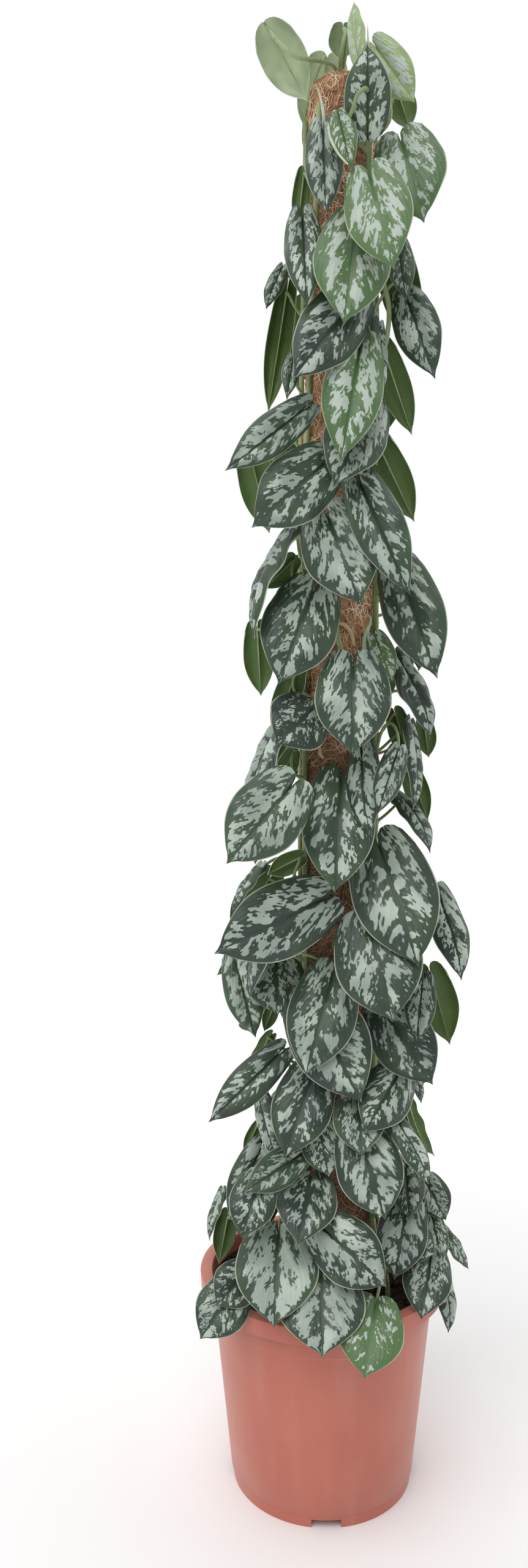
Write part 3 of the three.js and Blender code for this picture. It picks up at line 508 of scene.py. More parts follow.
class Eye:
    """The eye in front, which turns a pixel of the picture into a point and back."""

    def __init__(self) -> None:
        """Sets the eye's place and directions."""
        self.place = vector(PICTURE.eye_x, -PICTURE.distance, PICTURE.eye_height)
        self.ahead = vector(0, math.cos(PICTURE.tilt), -math.sin(PICTURE.tilt))
        self.right = vector(1, 0, 0)
        self.up = np.cross(self.right, self.ahead)

    def at(self, x: float, y: float, behind: float) -> np.ndarray:
        """The point seen at a pixel, at a distance behind the pot's axis.

        Args:
            x: pixels from the left.
            y: pixels from the top.
            behind: millimetres behind the pot's axis.

        Returns:
            The point.
        """
        ray = (self.ahead + self.right * ((x - PICTURE.width / 2) / PICTURE.focal)
               + self.up * ((PICTURE.height / 2 - y) / PICTURE.focal))
        return ray * ((behind - self.place[1]) / ray[1]) + self.place

    def scale(self, point: np.ndarray) -> float:
        """How many millimetres a pixel covers at a point."""
        return float(np.dot(point - self.place, self.ahead)) / PICTURE.focal

    def see(self, points: np.ndarray) -> tuple[np.ndarray, np.ndarray]:
        """The pixels at which points are seen, as their x and their y."""
        way = points - self.place
        depth = way @ self.ahead
        return (PICTURE.width / 2 + PICTURE.focal * (way @ self.right) / depth,
                PICTURE.height / 2 - PICTURE.focal * (way @ self.up) / depth)


def stem_angle(stem: Stem, z: float) -> float:
    """The angle at which a stem climbs the pole at a height, in radians."""
    index = 0
    while index < len(STEM_HEIGHTS) - 2 and z > STEM_HEIGHTS[index + 1]:
        index += 1
    low, high = STEM_HEIGHTS[index], STEM_HEIGHTS[index + 1]
    share = min(1.0, max(0.0, (z - low) / (high - low)))
    return math.radians(lerp(stem.angles[index], stem.angles[index + 1], share))


def stem_point(stem: Stem, z: float) -> np.ndarray:
    """The middle of a stem at a height: upright out of the soil, in to the pole, and up along it.

    Args:
        stem: the stem.
        z: the height in millimetres.

    Returns:
        The point.
    """
    angle = stem_angle(stem, z)
    on_pole = POLE.radius(z) + STEM.gap + STEM.radius
    reach = lerp(STEM.foot, on_pole, smooth(z, SOIL.top + 6, STEM.joins_pole_at))
    return vector(POLE.x + math.sin(angle) * reach, -math.cos(angle) * reach, z)


def half_width(u: np.ndarray) -> np.ndarray:
    """Share of the full half width at a place along the midrib, from the lobes (0) to the tip (1)."""
    return np.sin(np.pi * (0.3 + 0.7 * u ** 1.3)) * (1 - 0.35 * u ** 10)


class Blade:
    """One leaf blade, placed by its notch, its tip and the way it faces."""

    def __init__(self, notch: np.ndarray, tip: np.ndarray, face: np.ndarray, width: float, seed: int,
                 lobe: float = BLADE.lobe) -> None:
        """Sets the blade's directions and draws its form.

        Args:
            notch: where the petiole joins.
            tip: the leaf's tip.
            face: the way its upper face looks.
            width: its full width.
            seed: the start of its own draws.
            lobe: how far its base reaches back, as a share of its length.
        """
        random = draws(seed)
        self.notch = notch
        self.length = float(np.linalg.norm(tip - notch))
        self.along = unit(tip - notch)
        self.face = unit(face - self.along * np.dot(face, self.along))
        self.across = np.cross(self.along, self.face)
        self.width = width
        self.lobe = lobe
        self.bow = 0.03 + 0.05 * random()
        self.puff = 0.1 + 0.08 * random()
        self.droop = 0.02 + 0.06 * random()
        self.twist = (random() - 0.5) * 0.24
        self.ripple = 0.008 + 0.012 * random()
        self.phase = random() * 2 * math.pi

    def height(self, u: np.ndarray, q: np.ndarray) -> np.ndarray:
        """Height of the blade over its own plane, as a share of its length."""
        wide = half_width(u)
        arch = self.bow * 4 * u * (1 - u) - self.droop * np.maximum(0, (u - 0.6) / 0.4) ** 2
        pillow = self.puff * (np.abs(q) - 1.25 * q * q) * wide * 0.6
        wave = self.ripple * np.sin(5 * np.pi * u + self.phase + q) * q * q * wide
        turned = (self.twist * q * u * wide * self.width) / (2 * self.length)
        return arch + pillow + wave + turned

    def points(self, u: np.ndarray, q: np.ndarray, width: Optional[np.ndarray] = None,
               extra: Optional[np.ndarray] = None, lobes: Optional[np.ndarray] = None) -> np.ndarray:
        """Points of the blade.

        Args:
            u: places along the midrib, from the lobes (0) to the tip (1).
            q: places across, from one margin (-1) to the other (1).
            width: share of the half width at each place, where it isn't the plain one.
            extra: height to add at each place, as a share of the length.
            lobes: how far the base reaches back at each place, as a share of the length.

        Returns:
            One row for each point.
        """
        wide = half_width(u) if width is None else width
        raised = self.height(u, q) if extra is None else self.height(u, q) + extra
        back = self.lobe * np.sin(0.85 * np.pi * np.abs(q) ** 0.8) * (1 - u) ** 3 if lobes is None else lobes
        return (self.notch + np.outer((u - back) * self.length, self.along)
                + np.outer(self.width / 2 * wide * q, self.across) + np.outer(raised * self.length, self.face))

    def samples(self, spacing: float) -> tuple[np.ndarray, np.ndarray]:
        """Places along the midrib and points, spread over the blade about as far apart as the spacing."""
        rows = math.ceil(self.length / spacing)
        columns = math.ceil(self.width / spacing)
        u, q = np.meshgrid(np.arange(rows + 1) / rows, 2 * np.arange(columns + 1) / columns - 1, indexing="ij")
        return u.ravel(), self.points(u.ravel(), q.ravel())


class Nearness:
    """The picture's grid, holding for each cell how near the nearest thing so far is."""

    def __init__(self, eye: Eye) -> None:
        """Starts with nothing in the picture."""
        self.eye = eye
        self.columns = math.ceil(PICTURE.width / PICTURE.cell) + 2
        self.rows = math.ceil(PICTURE.height / PICTURE.cell) + 2
        self.nearest = np.full(self.columns * self.rows, np.inf)

    def cells(self, points: np.ndarray) -> np.ndarray:
        """The cells in which points are seen."""
        x, y = self.eye.see(points)
        column = np.clip(np.floor(x / PICTURE.cell) + 1, 1, self.columns - 2).astype(int)
        row = np.clip(np.floor(y / PICTURE.cell) + 1, 1, self.rows - 2).astype(int)
        return row * self.columns + column

    def shortfall(self, points: np.ndarray) -> np.ndarray:
        """How far points would have to come forward to clear what lies under them."""
        return points[:, 1] - self.nearest[self.cells(points)] + BLADE.clear

    def covered(self, points: np.ndarray) -> np.ndarray:
        """Whether something lies in front of each point's pixel."""
        return self.nearest[self.cells(points)] < np.inf

    def add(self, points: np.ndarray) -> None:
        """Puts points into the picture."""
        middle = self.cells(points)
        for rows in (-self.columns, 0, self.columns):
            for columns in (-1, 0, 1):
                np.minimum.at(self.nearest, middle + rows + columns, points[:, 1])


class Room:
    """The room round the plant in small cubes, each free, taken by one owner, or taken by several."""

    def __init__(self) -> None:
        """Starts with all cubes free."""
        self.low = vector(-260, -330, 0)
        self.size = np.array((180, 200, 560))
        self.owner = np.zeros(int(np.prod(self.size)), dtype=np.int16)

    def indices(self, places: np.ndarray) -> np.ndarray:
        """The cubes' numbers for their places along X, Y and Z."""
        return (places[:, 2] * self.size[1] + places[:, 1]) * self.size[0] + places[:, 0]

    def take(self, points: np.ndarray, owner: int, reach: int = 1) -> None:
        """Marks the cubes of points, and as many as reach says round them, as taken by an owner.

        Args:
            points: points of the owner.
            owner: the owner's number.
            reach: how many cubes further.
        """
        places = np.floor((points - self.low) / VOXEL).astype(int)
        steps = np.arange(-reach, reach + 1)
        around = np.stack(np.meshgrid(steps, steps, steps), axis=-1).reshape(-1, 3)
        cubes = (np.unique(places, axis=0)[:, None, :] + around[None, :, :]).reshape(-1, 3)
        cubes = cubes[np.all((cubes >= 0) & (cubes < self.size), axis=1)]
        index = np.unique(self.indices(cubes))
        held = self.owner[index]
        self.owner[index] = np.where((held == 0) | (held == owner), owner, -1)

    def free(self, points: np.ndarray, owners: Sequence[int]) -> np.ndarray:
        """Whether each point is in a cube that is free or that only one of the given owners takes."""
        held = self.owner[self.indices(np.floor((points - self.low) / VOXEL).astype(int))]
        return (held == 0) | np.isin(held, owners)


def fixed_points() -> np.ndarray:
    """Points all over the pole and the pot, which leaves keep clear of."""
    rows = []
    turns = np.arange(0, 2 * math.pi, 0.07)
    for z in np.arange(SOIL.top, POLE.top + 0.001, 3):
        rows.append(ringed(POLE.x, POLE.radius(z), turns, z))
    turns = np.arange(0, 2 * math.pi, 0.02)
    for z in np.arange(0, POT.height + 0.001, 3):
        radius = POT.radius(z) if z < POT.height - POT.rim_height else POT.rim_radius
        rows.append(ringed(0, radius, turns, z))
    for radius in np.arange(0, POT.rim_radius, 3):
        z = POT.height if radius > POT.radius(SOIL.top) - POT.wall else SOIL.top + SOIL.mound
        rows.append(ringed(0, radius, turns, z))
    return np.concatenate(rows)


# Curves of petioles
class Curve:
    """A curve in space that runs from 0 to 1."""

    def points(self, shares: np.ndarray) -> np.ndarray:
        """The curve's points at the given shares of its run."""
        raise NotImplementedError

    def spaced(self, pieces: int) -> np.ndarray:
        """Corners that cut the curve into pieces of equal length."""
        fine = self.points(np.linspace(0, 1, 201))
        lengths = np.concatenate(([0], np.cumsum(np.linalg.norm(np.diff(fine, axis=0), axis=1))))
        shares = np.interp(np.linspace(0, lengths[-1], pieces + 1), lengths, np.linspace(0, 1, 201))
        return self.points(shares)

    def spread(self, pieces: int) -> np.ndarray:
        """Points closer together than the cubes of the grid, on the curve and on its straight pieces."""
        corners = self.spaced(pieces)
        count = math.ceil((np.linalg.norm(corners[0] - corners[-1]) + 10) / PETIOLE.spacing)
        rows = [self.points(np.arange(count + 1) / count)]
        shares = (np.arange(1, count) / count)[:, None]
        for low, high in zip(corners[:-1], corners[1:]):
            rows.append(low + (high - low) * shares)
        return np.concatenate(rows)


class Bend(Curve):
    """A curve from one end to the other, drawn off its line by two pull points."""

    def __init__(self, *corners: np.ndarray) -> None:
        """Takes the first end, the two pull points and the last end."""
        self.corners = corners

    def points(self, shares: np.ndarray) -> np.ndarray:
        """The curve's points at the given shares of its run."""
        t = shares[:, None]
        a, b, c, d = self.corners
        return (1 - t) ** 3 * a + 3 * (1 - t) ** 2 * t * b + 3 * (1 - t) * t ** 2 * c + t ** 3 * d


class Through(Curve):
    """A smooth curve through all of its points."""

    def __init__(self, places: Sequence[np.ndarray]) -> None:
        """Takes the points, from the first end to the last."""
        self.places = [np.asarray(place, dtype=float) for place in places]

    def points(self, shares: np.ndarray) -> np.ndarray:
        """The curve's points at the given shares of its run."""
        return np.array([self.point(float(share)) for share in shares])

    def point(self, share: float) -> np.ndarray:
        """The curve's point at one share of its run."""
        places = self.places
        last = len(places) - 1
        index = min(int(share * last), last - 1)
        weight = share * last - index
        one, two = places[index], places[index + 1]
        before = places[index - 1] if index > 0 else 2 * one - two
        after = places[index + 2] if index + 2 <= last else 2 * two - one
        spans = ((before, one), (one, two), (two, after))
        first, middle, third = (max(float(np.sum((b - a) ** 2)) ** 0.25, 1e-4) for a, b in spans)
        start = ((one - before) / first - (two - before) / (first + middle) + (two - one) / middle) * middle
        end = ((two - one) / middle - (after - one) / (middle + third) + (after - two) / third) * middle
        return (one + start * weight + (-3 * one + 3 * two - 2 * start - end) * weight ** 2
                + (2 * one - 2 * two + start + end) * weight ** 3)


@dataclass
class Leaf:
    """A placed leaf: its blade, what it was read from, and its petiole once it has one."""

    blade: Blade
    reading: Optional[Reading]
    owner: int
    stem: int
    seed: int
    petiole: Optional[Curve] = None
    pieces: int = PETIOLE.pieces


class Owner(Enum):
    """Numbers by which the cubes of the grid name what takes them."""

    FIXED = 1
    FIRST_STEM = 2
    FIRST_LEAF = 20


class Growth:
    """A plant in the making: what is placed so far and how the rest keeps clear of it."""

    SPACING = 2.4  # millimetres between the points that stand for a blade
    MOVES = 14  # how often a leaf comes forward at most
    BASE = 0.35  # share of a blade, from its notch, that decides how far all of it comes forward
    SETTLED = 0.02  # millimetres that no longer count
    TRIES = 60  # blades tried for one place out of sight

    def __init__(self) -> None:
        """Puts the pot, the pole and the stems in place."""
        self.eye = Eye()
        self.nearness = Nearness(self.eye)
        self.room = Room()
        self.leaves: list[Leaf] = []
        fixed = fixed_points()
        self.nearness.add(fixed)
        self.room.take(fixed, Owner.FIXED.value)
        for index, stem in enumerate(STEMS):
            middles = np.array([stem_point(stem, z) for z in np.arange(SOIL.top, STEM.top + 0.001, 2)])
            self.room.take(middles, Owner.FIRST_STEM.value + index, 2)
            self.nearness.add(middles - vector(0, STEM.radius, 0))

    def read_blade(self, reading: Reading, notch_y: float, tip_y: float, seed: int) -> Blade:
        """A blade from a reading, with its notch and tip at the given distances behind the pot's axis.

        Args:
            reading: the leaf's reading.
            notch_y: how far back its notch is.
            tip_y: how far back its tip is.
            seed: the start of its draws.

        Returns:
            The blade.
        """
        x, y, tip_x, tip_py = reading.at
        notch = self.eye.at(x, y, notch_y)
        tip = self.eye.at(tip_x, tip_py, tip_y)
        along = unit(tip - notch)
        towards = unit(self.eye.place - notch)
        plain = unit(towards - along * np.dot(towards, along))
        scale = self.eye.scale(notch)
        seen_width = reading.wide * scale
        seen_length = math.hypot(tip_x - x, tip_py - y) * scale
        width = max(seen_width, BLADE.aslant * seen_length) if reading.turn else seen_width
        roll = reading.turn * math.acos(seen_width / width) if reading.turn else 0.0
        sideways = np.cross(plain, along)
        if np.dot(sideways, self.eye.right) < 0:
            sideways = -sideways
        face = plain * math.cos(roll) + sideways * math.sin(roll)
        return Blade(notch, tip, -face if reading.under else face, width, seed, reading.lobe)

    def settle(self, reading: Reading, index: int) -> None:
        """Places a leaf by its reading: it comes forward, or leans out, until it clears what is behind it.

        Args:
            reading: the leaf's reading.
            index: the reading's number in the table.
        """
        x, y, tip_x, tip_py = reading.at
        side = self.eye.at(x, y, 0)[0] - POLE.x
        reach = POLE.radius(1000) + 22
        notch_y = reading.back
        if notch_y is None:
            notch_y = -math.sqrt(max(0.0, reach * reach - side * side))
        seen = math.hypot(tip_x - x, tip_py - y)
        length = seen * self.eye.scale(vector(0, notch_y, 1000))
        lean = reading.lean if reading.lean is not None else 0.3 + 0.15 * abs(tip_py - y) / seen
        tip_y = notch_y - lean * length
        blade = self.read_blade(reading, notch_y, tip_y, index + 1)
        for _ in range(0 if reading.behind else self.MOVES):
            u, points = blade.samples(self.SPACING)
            miss = self.nearness.shortfall(points)
            outer = u >= self.BASE
            push = max(0.0, float(miss[~outer].max()))
            tilt = max(0.0, float(((miss[outer] - push) / u[outer]).max()))
            if max(push, tilt) <= self.SETTLED:
                break
            leaning = min(tilt, max(0.0, BLADE.steepest * length - (notch_y - tip_y)))
            push = max(push, float((miss - leaning * u).max()))
            notch_y -= push
            tip_y -= push + leaning
            blade = self.read_blade(reading, notch_y, tip_y, index + 1)
        self.nearness.add(blade.samples(self.SPACING)[1])
        self.keep(blade, reading, reading.stem, index + 1)

    def keep(self, blade: Blade, reading: Optional[Reading], stem: int, seed: int) -> None:
        """Takes a placed blade into the plant."""
        owner = Owner.FIRST_LEAF.value + len(self.leaves)
        self.room.take(blade.samples(2)[1], owner)
        self.leaves.append(Leaf(blade, reading, owner, stem, seed))

    def grow_hidden(self, index: int, z: float, seed: int) -> None:
        """Tries blades for one place on a hidden stem until one clears everything and stays out of sight.

        Args:
            index: the stem's number.
            z: the height to try at.
            seed: the start of the draws.
        """
        random = draws(seed)
        stem = STEMS[index]
        for attempt in range(self.TRIES):
            angle = stem_angle(stem, z) + (random() - 0.5) * 1.5
            outward = vector(math.sin(angle), -math.cos(angle), 0)
            reach = POLE.radius(z) + 14 + 44 * random()
            length = 84 + 44 * random()
            notch = vector(POLE.x, 0, z + 12 + 40 * random()) + outward * reach
            lean = 0.25 + 0.65 * random()
            swing = (random() - 0.5) * 1.3
            along = spun(outward, swing) * math.sin(lean) - vector(0, 0, math.cos(lean))
            width = length * (BLADE.ratio + 0.1 * (random() - 0.5))
            blade = Blade(notch, notch + along * length, outward + vector(0, 0, 0.5), width, seed + attempt)
            points = blade.samples(3)[1]
            if self.room.free(points, ()).all() and self.nearness.covered(points).all():
                self.keep(blade, None, index, seed + attempt)
                return

    def open_way(self, curve: Curve, owners: Sequence[int], held: float) -> bool:
        """Whether a petiole along a curve keeps clear of all but the given owners, away from its own ends.

        Args:
            curve: the petiole's middle.
            owners: what it may pass through.
            held: length at the leaf that may touch it.

        Returns:
            Whether it is clear.
        """
        points = curve.spread(PETIOLE.pieces)
        start, end = curve.points(np.array((0.0, 1.0)))
        near_stem = np.linalg.norm(points - start, axis=1) < PETIOLE.sunk
        near_leaf = np.linalg.norm(points - end, axis=1) < held
        return bool((near_stem | near_leaf | self.room.free(points, owners)).all())

    def ways(self, leaf: Leaf, stem: Stem) -> Iterator[Bend]:
        """Possible petioles of a leaf on a stem, the most natural first.

        Args:
            leaf: the leaf.
            stem: the stem.

        Returns:
            The curves, one at a time.
        """
        notch, along, face = leaf.blade.notch, leaf.blade.along, leaf.blade.face
        for drop in DROPS:
            z = notch[2] - drop
            if z < SOIL.top + 24 or z > STEM.top - 6:
                continue
            start = stem_point(stem, z)
            outward = unit(vector(start[0] - POLE.x, start[1], 0))
            span = float(np.linalg.norm(start - notch))
            for away, rise, behind, over in BENDS:
                yield Bend(start, start + outward * (span * away) + vector(0, 0, span * rise),
                           notch - face * (span * behind) - along * (span * over), notch + along * 2)

    def gap_to(self, index: int, point: np.ndarray) -> float:
        """How far a stem passes from a point at its height."""
        return float(np.linalg.norm(stem_point(STEMS[index], min(point[2], STEM.top)) - point))

    def follow(self, leaf: Leaf) -> None:
        """Gives a leaf the petiole that can be followed, from the nearest stem."""
        places = [self.eye.at(*corner) for corner in ROUTES[leaf.reading.route]]
        index = min(range(len(STEMS)), key=lambda number: self.gap_to(number, places[0]))
        rise = 10 if places[1][2] > places[0][2] else -10
        start = stem_point(STEMS[index], min(places[0][2] - rise, STEM.top - 6))
        end = leaf.blade.points(np.array((leaf.reading.joins,)), np.zeros(1))[0]
        leaf.stem = index
        leaf.petiole = Through([start, *places, end])
        leaf.pieces = len(places) + 1

    def grow_petiole(self, leaf: Leaf) -> bool:
        """Gives a leaf the first petiole that is clear, or else one that passes only leaves of its own stem.

        Args:
            leaf: the leaf.

        Returns:
            Whether it has got one.
        """
        order = sorted(range(len(STEMS)), key=lambda number: self.gap_to(number, leaf.blade.notch))
        choices = [leaf.stem] if leaf.stem >= 0 else order[:4]
        for crowded, held in ((False, PETIOLE.held), (True, PETIOLE.held), (True, 2 * PETIOLE.held)):
            for index in choices:
                siblings = [other.owner for other in self.leaves if crowded and other.stem == index]
                owners = [leaf.owner, Owner.FIRST_STEM.value + index, *siblings]
                for curve in self.ways(leaf, STEMS[index]):
                    if self.open_way(curve, owners, held):
                        leaf.stem = index
                        leaf.petiole = curve
                        return True
        return False

    def grow(self) -> None:
        """Places all leaves, and then their petioles."""
        for index, reading in enumerate(READINGS):
            self.settle(reading, index)
        for column, row in enumerate(HIDDEN_ROWS):
            for step, z in enumerate(range(row.low, row.high + 1, row.every)):
                self.grow_hidden(row.stem, z, 1000 * (column + 1) + 70 * step)
        followed = [leaf for leaf in self.leaves if leaf.reading and leaf.reading.route]
        for leaf in followed:
            self.follow(leaf)
            self.room.take(leaf.petiole.spread(leaf.pieces), leaf.owner, 2)
        for leaf in self.leaves:
            if leaf.petiole is None and self.grow_petiole(leaf):
                self.room.take(leaf.petiole.spread(leaf.pieces), leaf.owner, 2)


# Shader building
class Nodes:
    """Adds nodes to a material's or a group's tree and links them."""

    def __init__(self, tree: bpy.types.NodeTree) -> None:
        """Takes the tree to work on."""
        self.tree = tree

    def add(self, kind: str, inputs: Optional[dict] = None, **settings: object) -> bpy.types.Node:
        """Adds a node.

        Args:
            kind: the node's type.
            inputs: for each input, by name or number, a value or the socket that feeds it.
            settings: the node's own settings.

        Returns:
            The new node.
        """
        node = self.tree.nodes.new(kind)
        for name, value in settings.items():
            setattr(node, name, value)
        for name, value in (inputs or {}).items():
            if isinstance(value, Socket):
                self.tree.links.new(value, node.inputs[name])
            else:
                node.inputs[name].default_value = value
        return node

    def math(self, operation: str, first: Number, second: Number = 0.0, clamp: bool = False) -> Socket:
        """The result of a calculation with one or two numbers."""
        node = self.add("ShaderNodeMath", {0: first, 1: second}, operation=operation, use_clamp=clamp)
        return node.outputs[0]

    def add_up(self, first: Number, *others: Number) -> Socket:
        """The sum of several numbers."""
        total = first
        for other in others:
            total = self.math("ADD", total, other)
        return total

    def ramp(self, value: Socket, low: float, high: float, to_low: float = 0.0, to_high: float = 1.0) -> Socket:
        """A smooth step between two values."""
        inputs = {"Value": value, "From Min": low, "From Max": high, "To Min": to_low, "To Max": to_high}
        return self.add("ShaderNodeMapRange", inputs, interpolation_type="SMOOTHSTEP").outputs["Result"]

    def mix(self, share: Number, low: Socket | Colour, high: Socket | Colour) -> Socket:
        """A colour between two others.

        Args:
            share: how much of the second colour.
            low: the first colour.
            high: the second colour.

        Returns:
            The colour's socket.
        """
        node = self.tree.nodes.new("ShaderNodeMix")
        node.data_type = "RGBA"
        node.clamp_factor = True
        for socket, value in ((node.inputs[0], share), (node.inputs[6], low), (node.inputs[7], high)):
            if isinstance(value, Socket):
                self.tree.links.new(value, socket)
            else:
                socket.default_value = value if isinstance(value, (int, float)) else (*value, 1.0)
        return node.outputs[2]

    def stops(self, value: Socket, *stops: tuple[float, Colour]) -> Socket:
        """A colour from a row of places and colours.

        Args:
            value: the number that picks.
            stops: each colour with its place.

        Returns:
            The colour's socket.
        """
        node = self.add("ShaderNodeValToRGB", {"Fac": value})
        ramp = node.color_ramp
        while len(ramp.elements) < len(stops):
            ramp.elements.new(0.5)
        for element, (place, colour) in zip(ramp.elements, stops):
            element.position = place
            element.color = (*colour, 1.0)
        return node.outputs["Color"]

    def noise(self, place: Socket, scale: Number, detail: float = 2.0, roughness: float = 0.5,
              distortion: float = 0.0) -> Socket:
        """Soft noise, around one half."""
        inputs = {"Vector": place, "Scale": scale, "Detail": detail, "Roughness": roughness,
                  "Distortion": distortion}
        return self.add("ShaderNodeTexNoise", inputs).outputs["Fac"]

    def join(self, x: Number, y: Number, z: Number = 0.0) -> Socket:
        """A vector from three numbers."""
        return self.add("ShaderNodeCombineXYZ", {"X": x, "Y": y, "Z": z}).outputs["Vector"]

    def stretched(self, place: Socket, x: float, y: float, z: float) -> Socket:
        """A vector with each side stretched."""
        return self.add("ShaderNodeVectorMath", {0: place, 1: (x, y, z)}, operation="MULTIPLY").outputs[0]

    def object_place(self) -> Socket:
        """The place on the object, in metres."""
        return self.add("ShaderNodeTexCoord").outputs["Object"]

    def bump(self, height: Socket, strength: float, distance: float) -> Socket:
        """A normal raised by a height."""
        inputs = {"Height": height, "Strength": strength, "Distance": distance}
        return self.add("ShaderNodeBump", inputs).outputs["Normal"]

    def group(self, group: bpy.types.NodeTree, inputs: dict) -> bpy.types.Node:
        """Places a shader node group."""
        return self.add("ShaderNodeGroup", inputs, node_tree=group)

    def feed(self, node: bpy.types.Node, **sockets: Socket) -> None:
        """Links sockets to a node's inputs, given by their labels with underscores for blanks."""
        for label, socket in sockets.items():
            self.tree.links.new(socket, node.inputs[label.replace("_", " ")])


def new_group(name: str, takes: Sequence[tuple[str, str]], gives: Sequence[tuple[str, str]]) -> tuple:
    """Starts a shader node group.

    Args:
        name: the group's name.
        takes: name and kind of each input.
        gives: name and kind of each output.

    Returns:
        The group, its nodes, its input sockets and its output node.
    """
    tree = bpy.data.node_groups.new(name, "ShaderNodeTree")
    for label, kind in takes:
        tree.interface.new_socket(name=label, in_out="INPUT", socket_type=kind)
    for label, kind in gives:
        tree.interface.new_socket(name=label, in_out="OUTPUT", socket_type=kind)
    nodes = Nodes(tree)
    return tree, nodes, nodes.add("NodeGroupInput").outputs, nodes.add("NodeGroupOutput")


FLOAT, VECTOR = "NodeSocketFloat", "NodeSocketVector"


class Effects:
    """Shader node groups that several finishes share, each built once."""

    def __init__(self) -> None:
        """Builds the groups."""
        self.figure = self.leaf_figure()
        self.grain = self.fine_grain()
        self.threads = self.tangle()

    def grained(self, nodes: Nodes, place: Socket, scale: float, low: float = 0.4, high: float = 0.6) -> dict:
        """The outputs of the fine grain, placed among a material's nodes."""
        return nodes.group(self.grain, {"Place": place, "Scale": scale, "Low": low, "High": high}).outputs

    @staticmethod
    def leaf_figure() -> bpy.types.NodeTree:
        """Where a blade is silver, where its midrib, veins and margin run, from its own lengthwise map.

        Aspect is how narrow the blade shows for its length, so that blotches keep their form on slim blades.
        """
        takes = (("Map", VECTOR), ("Seed", FLOAT), ("Silver", FLOAT), ("Aspect", FLOAT))
        gives = (("Silver", FLOAT), ("Midrib", FLOAT), ("Margin", FLOAT), ("Vein", FLOAT), ("Cloud", FLOAT))
        tree, nodes, given, out = new_group("leaf_figure", takes, gives)
        parts = nodes.add("ShaderNodeSeparateXYZ", {0: given["Map"]}).outputs
        along = parts["X"]
        across = nodes.add_up(nodes.math("MULTIPLY", parts["Y"], 2.0), -1.0)
        side = nodes.math("ABSOLUTE", across)
        shift = nodes.math("MULTIPLY", given["Seed"], 61.0)
        half = nodes.math("MULTIPLY", nodes.math("SIGN", across), 40.0)
        narrowed = nodes.math("MULTIPLY", given["Aspect"], nodes.ramp(along, 0.4, 1.1, 1.0, 0.1))
        narrow_side = nodes.math("MULTIPLY", side, narrowed)
        vein = nodes.math("SUBTRACT", along, nodes.math("MULTIPLY", nodes.math("POWER", side, 1.4), 0.8))
        slanted = nodes.math("SUBTRACT", along, nodes.math("MULTIPLY", narrow_side, 0.35))
        wander = nodes.noise(nodes.join(nodes.math("MULTIPLY", along, 5.0), across, shift), 2.4, 1.0)
        lane = nodes.add_up(nodes.math("MULTIPLY", narrow_side, 17.0), nodes.math("MULTIPLY", wander, 4.0))
        whole = nodes.add_up(nodes.math("FLOOR", lane), half, shift)
        hashed = nodes.add("ShaderNodeTexWhiteNoise", {"W": whole}, noise_dimensions="1D").outputs["Value"]
        push = nodes.math("MULTIPLY", nodes.add_up(hashed, -0.5), 0.075)
        place = nodes.join(nodes.math("MULTIPLY", nodes.add_up(slanted, push), 9.8),
                           nodes.add_up(nodes.math("MULTIPLY", narrow_side, 2.7), half), shift)
        blob = nodes.noise(place, 1.3, 1.2, 0.45)
        specks_place = nodes.join(nodes.math("MULTIPLY", slanted, 26.0),
                                  nodes.math("MULTIPLY", narrow_side, 15.0), nodes.add_up(shift, half))
        specks = nodes.noise(specks_place, 1.0, 0.5)
        field = nodes.add_up(nodes.math("MULTIPLY", nodes.add_up(blob, -0.5), 3.2),
                             nodes.math("MULTIPLY", given["Silver"], 1.1), -0.64)
        field = nodes.add_up(field, nodes.math("MULTIPLY", nodes.add_up(specks, -0.5), 0.8))
        field = nodes.math("SUBTRACT", field, nodes.ramp(side, 0.0, 0.13, 0.8, 0.0))
        field = nodes.math("SUBTRACT", field, nodes.ramp(nodes.add_up(side, push), 0.66, 0.96, 0.0, 1.1))
        field = nodes.math("SUBTRACT", field, nodes.ramp(along, 0.84, 1.0, 0.0, 0.4))
        silver = nodes.ramp(field, -0.03, 0.03)
        stray = nodes.math("MULTIPLY", nodes.ramp(specks, 0.69, 0.72), nodes.ramp(side, 0.08, 0.2))
        stray = nodes.math("MULTIPLY", stray, nodes.ramp(field, -0.6, -0.3))
        wave = nodes.math("SINE", nodes.math("MULTIPLY", vein, 46.0))
        cloud_place = nodes.join(nodes.math("MULTIPLY", along, 3.0), across, shift)
        nodes.feed(out, Silver=nodes.math("MAXIMUM", silver, nodes.math("MULTIPLY", stray, 0.8)),
                   Midrib=nodes.ramp(side, 0.015, 0.05, 1.0, 0.0), Margin=nodes.ramp(side, 0.96, 0.985),
                   Vein=nodes.math("MULTIPLY", wave, nodes.ramp(side, 0.05, 0.3)),
                   Cloud=nodes.noise(cloud_place, 1.0, 1.0))
        return tree

    @staticmethod
    def fine_grain() -> bpy.types.NodeTree:
        """Fine mottling, for anything that is read by its place on the object."""
        takes = (("Place", VECTOR), ("Scale", FLOAT), ("Low", FLOAT), ("High", FLOAT))
        tree, nodes, given, out = new_group("fine_grain", takes, (("Mask", FLOAT), ("Height", FLOAT)))
        noise = nodes.noise(given["Place"], given["Scale"], 4.0, 0.6)
        mask = nodes.ramp(noise, 0.0, 1.0)
        nodes.feed(mask.node, From_Min=given["Low"], From_Max=given["High"])
        nodes.feed(out, Mask=mask, Height=noise)
        return tree

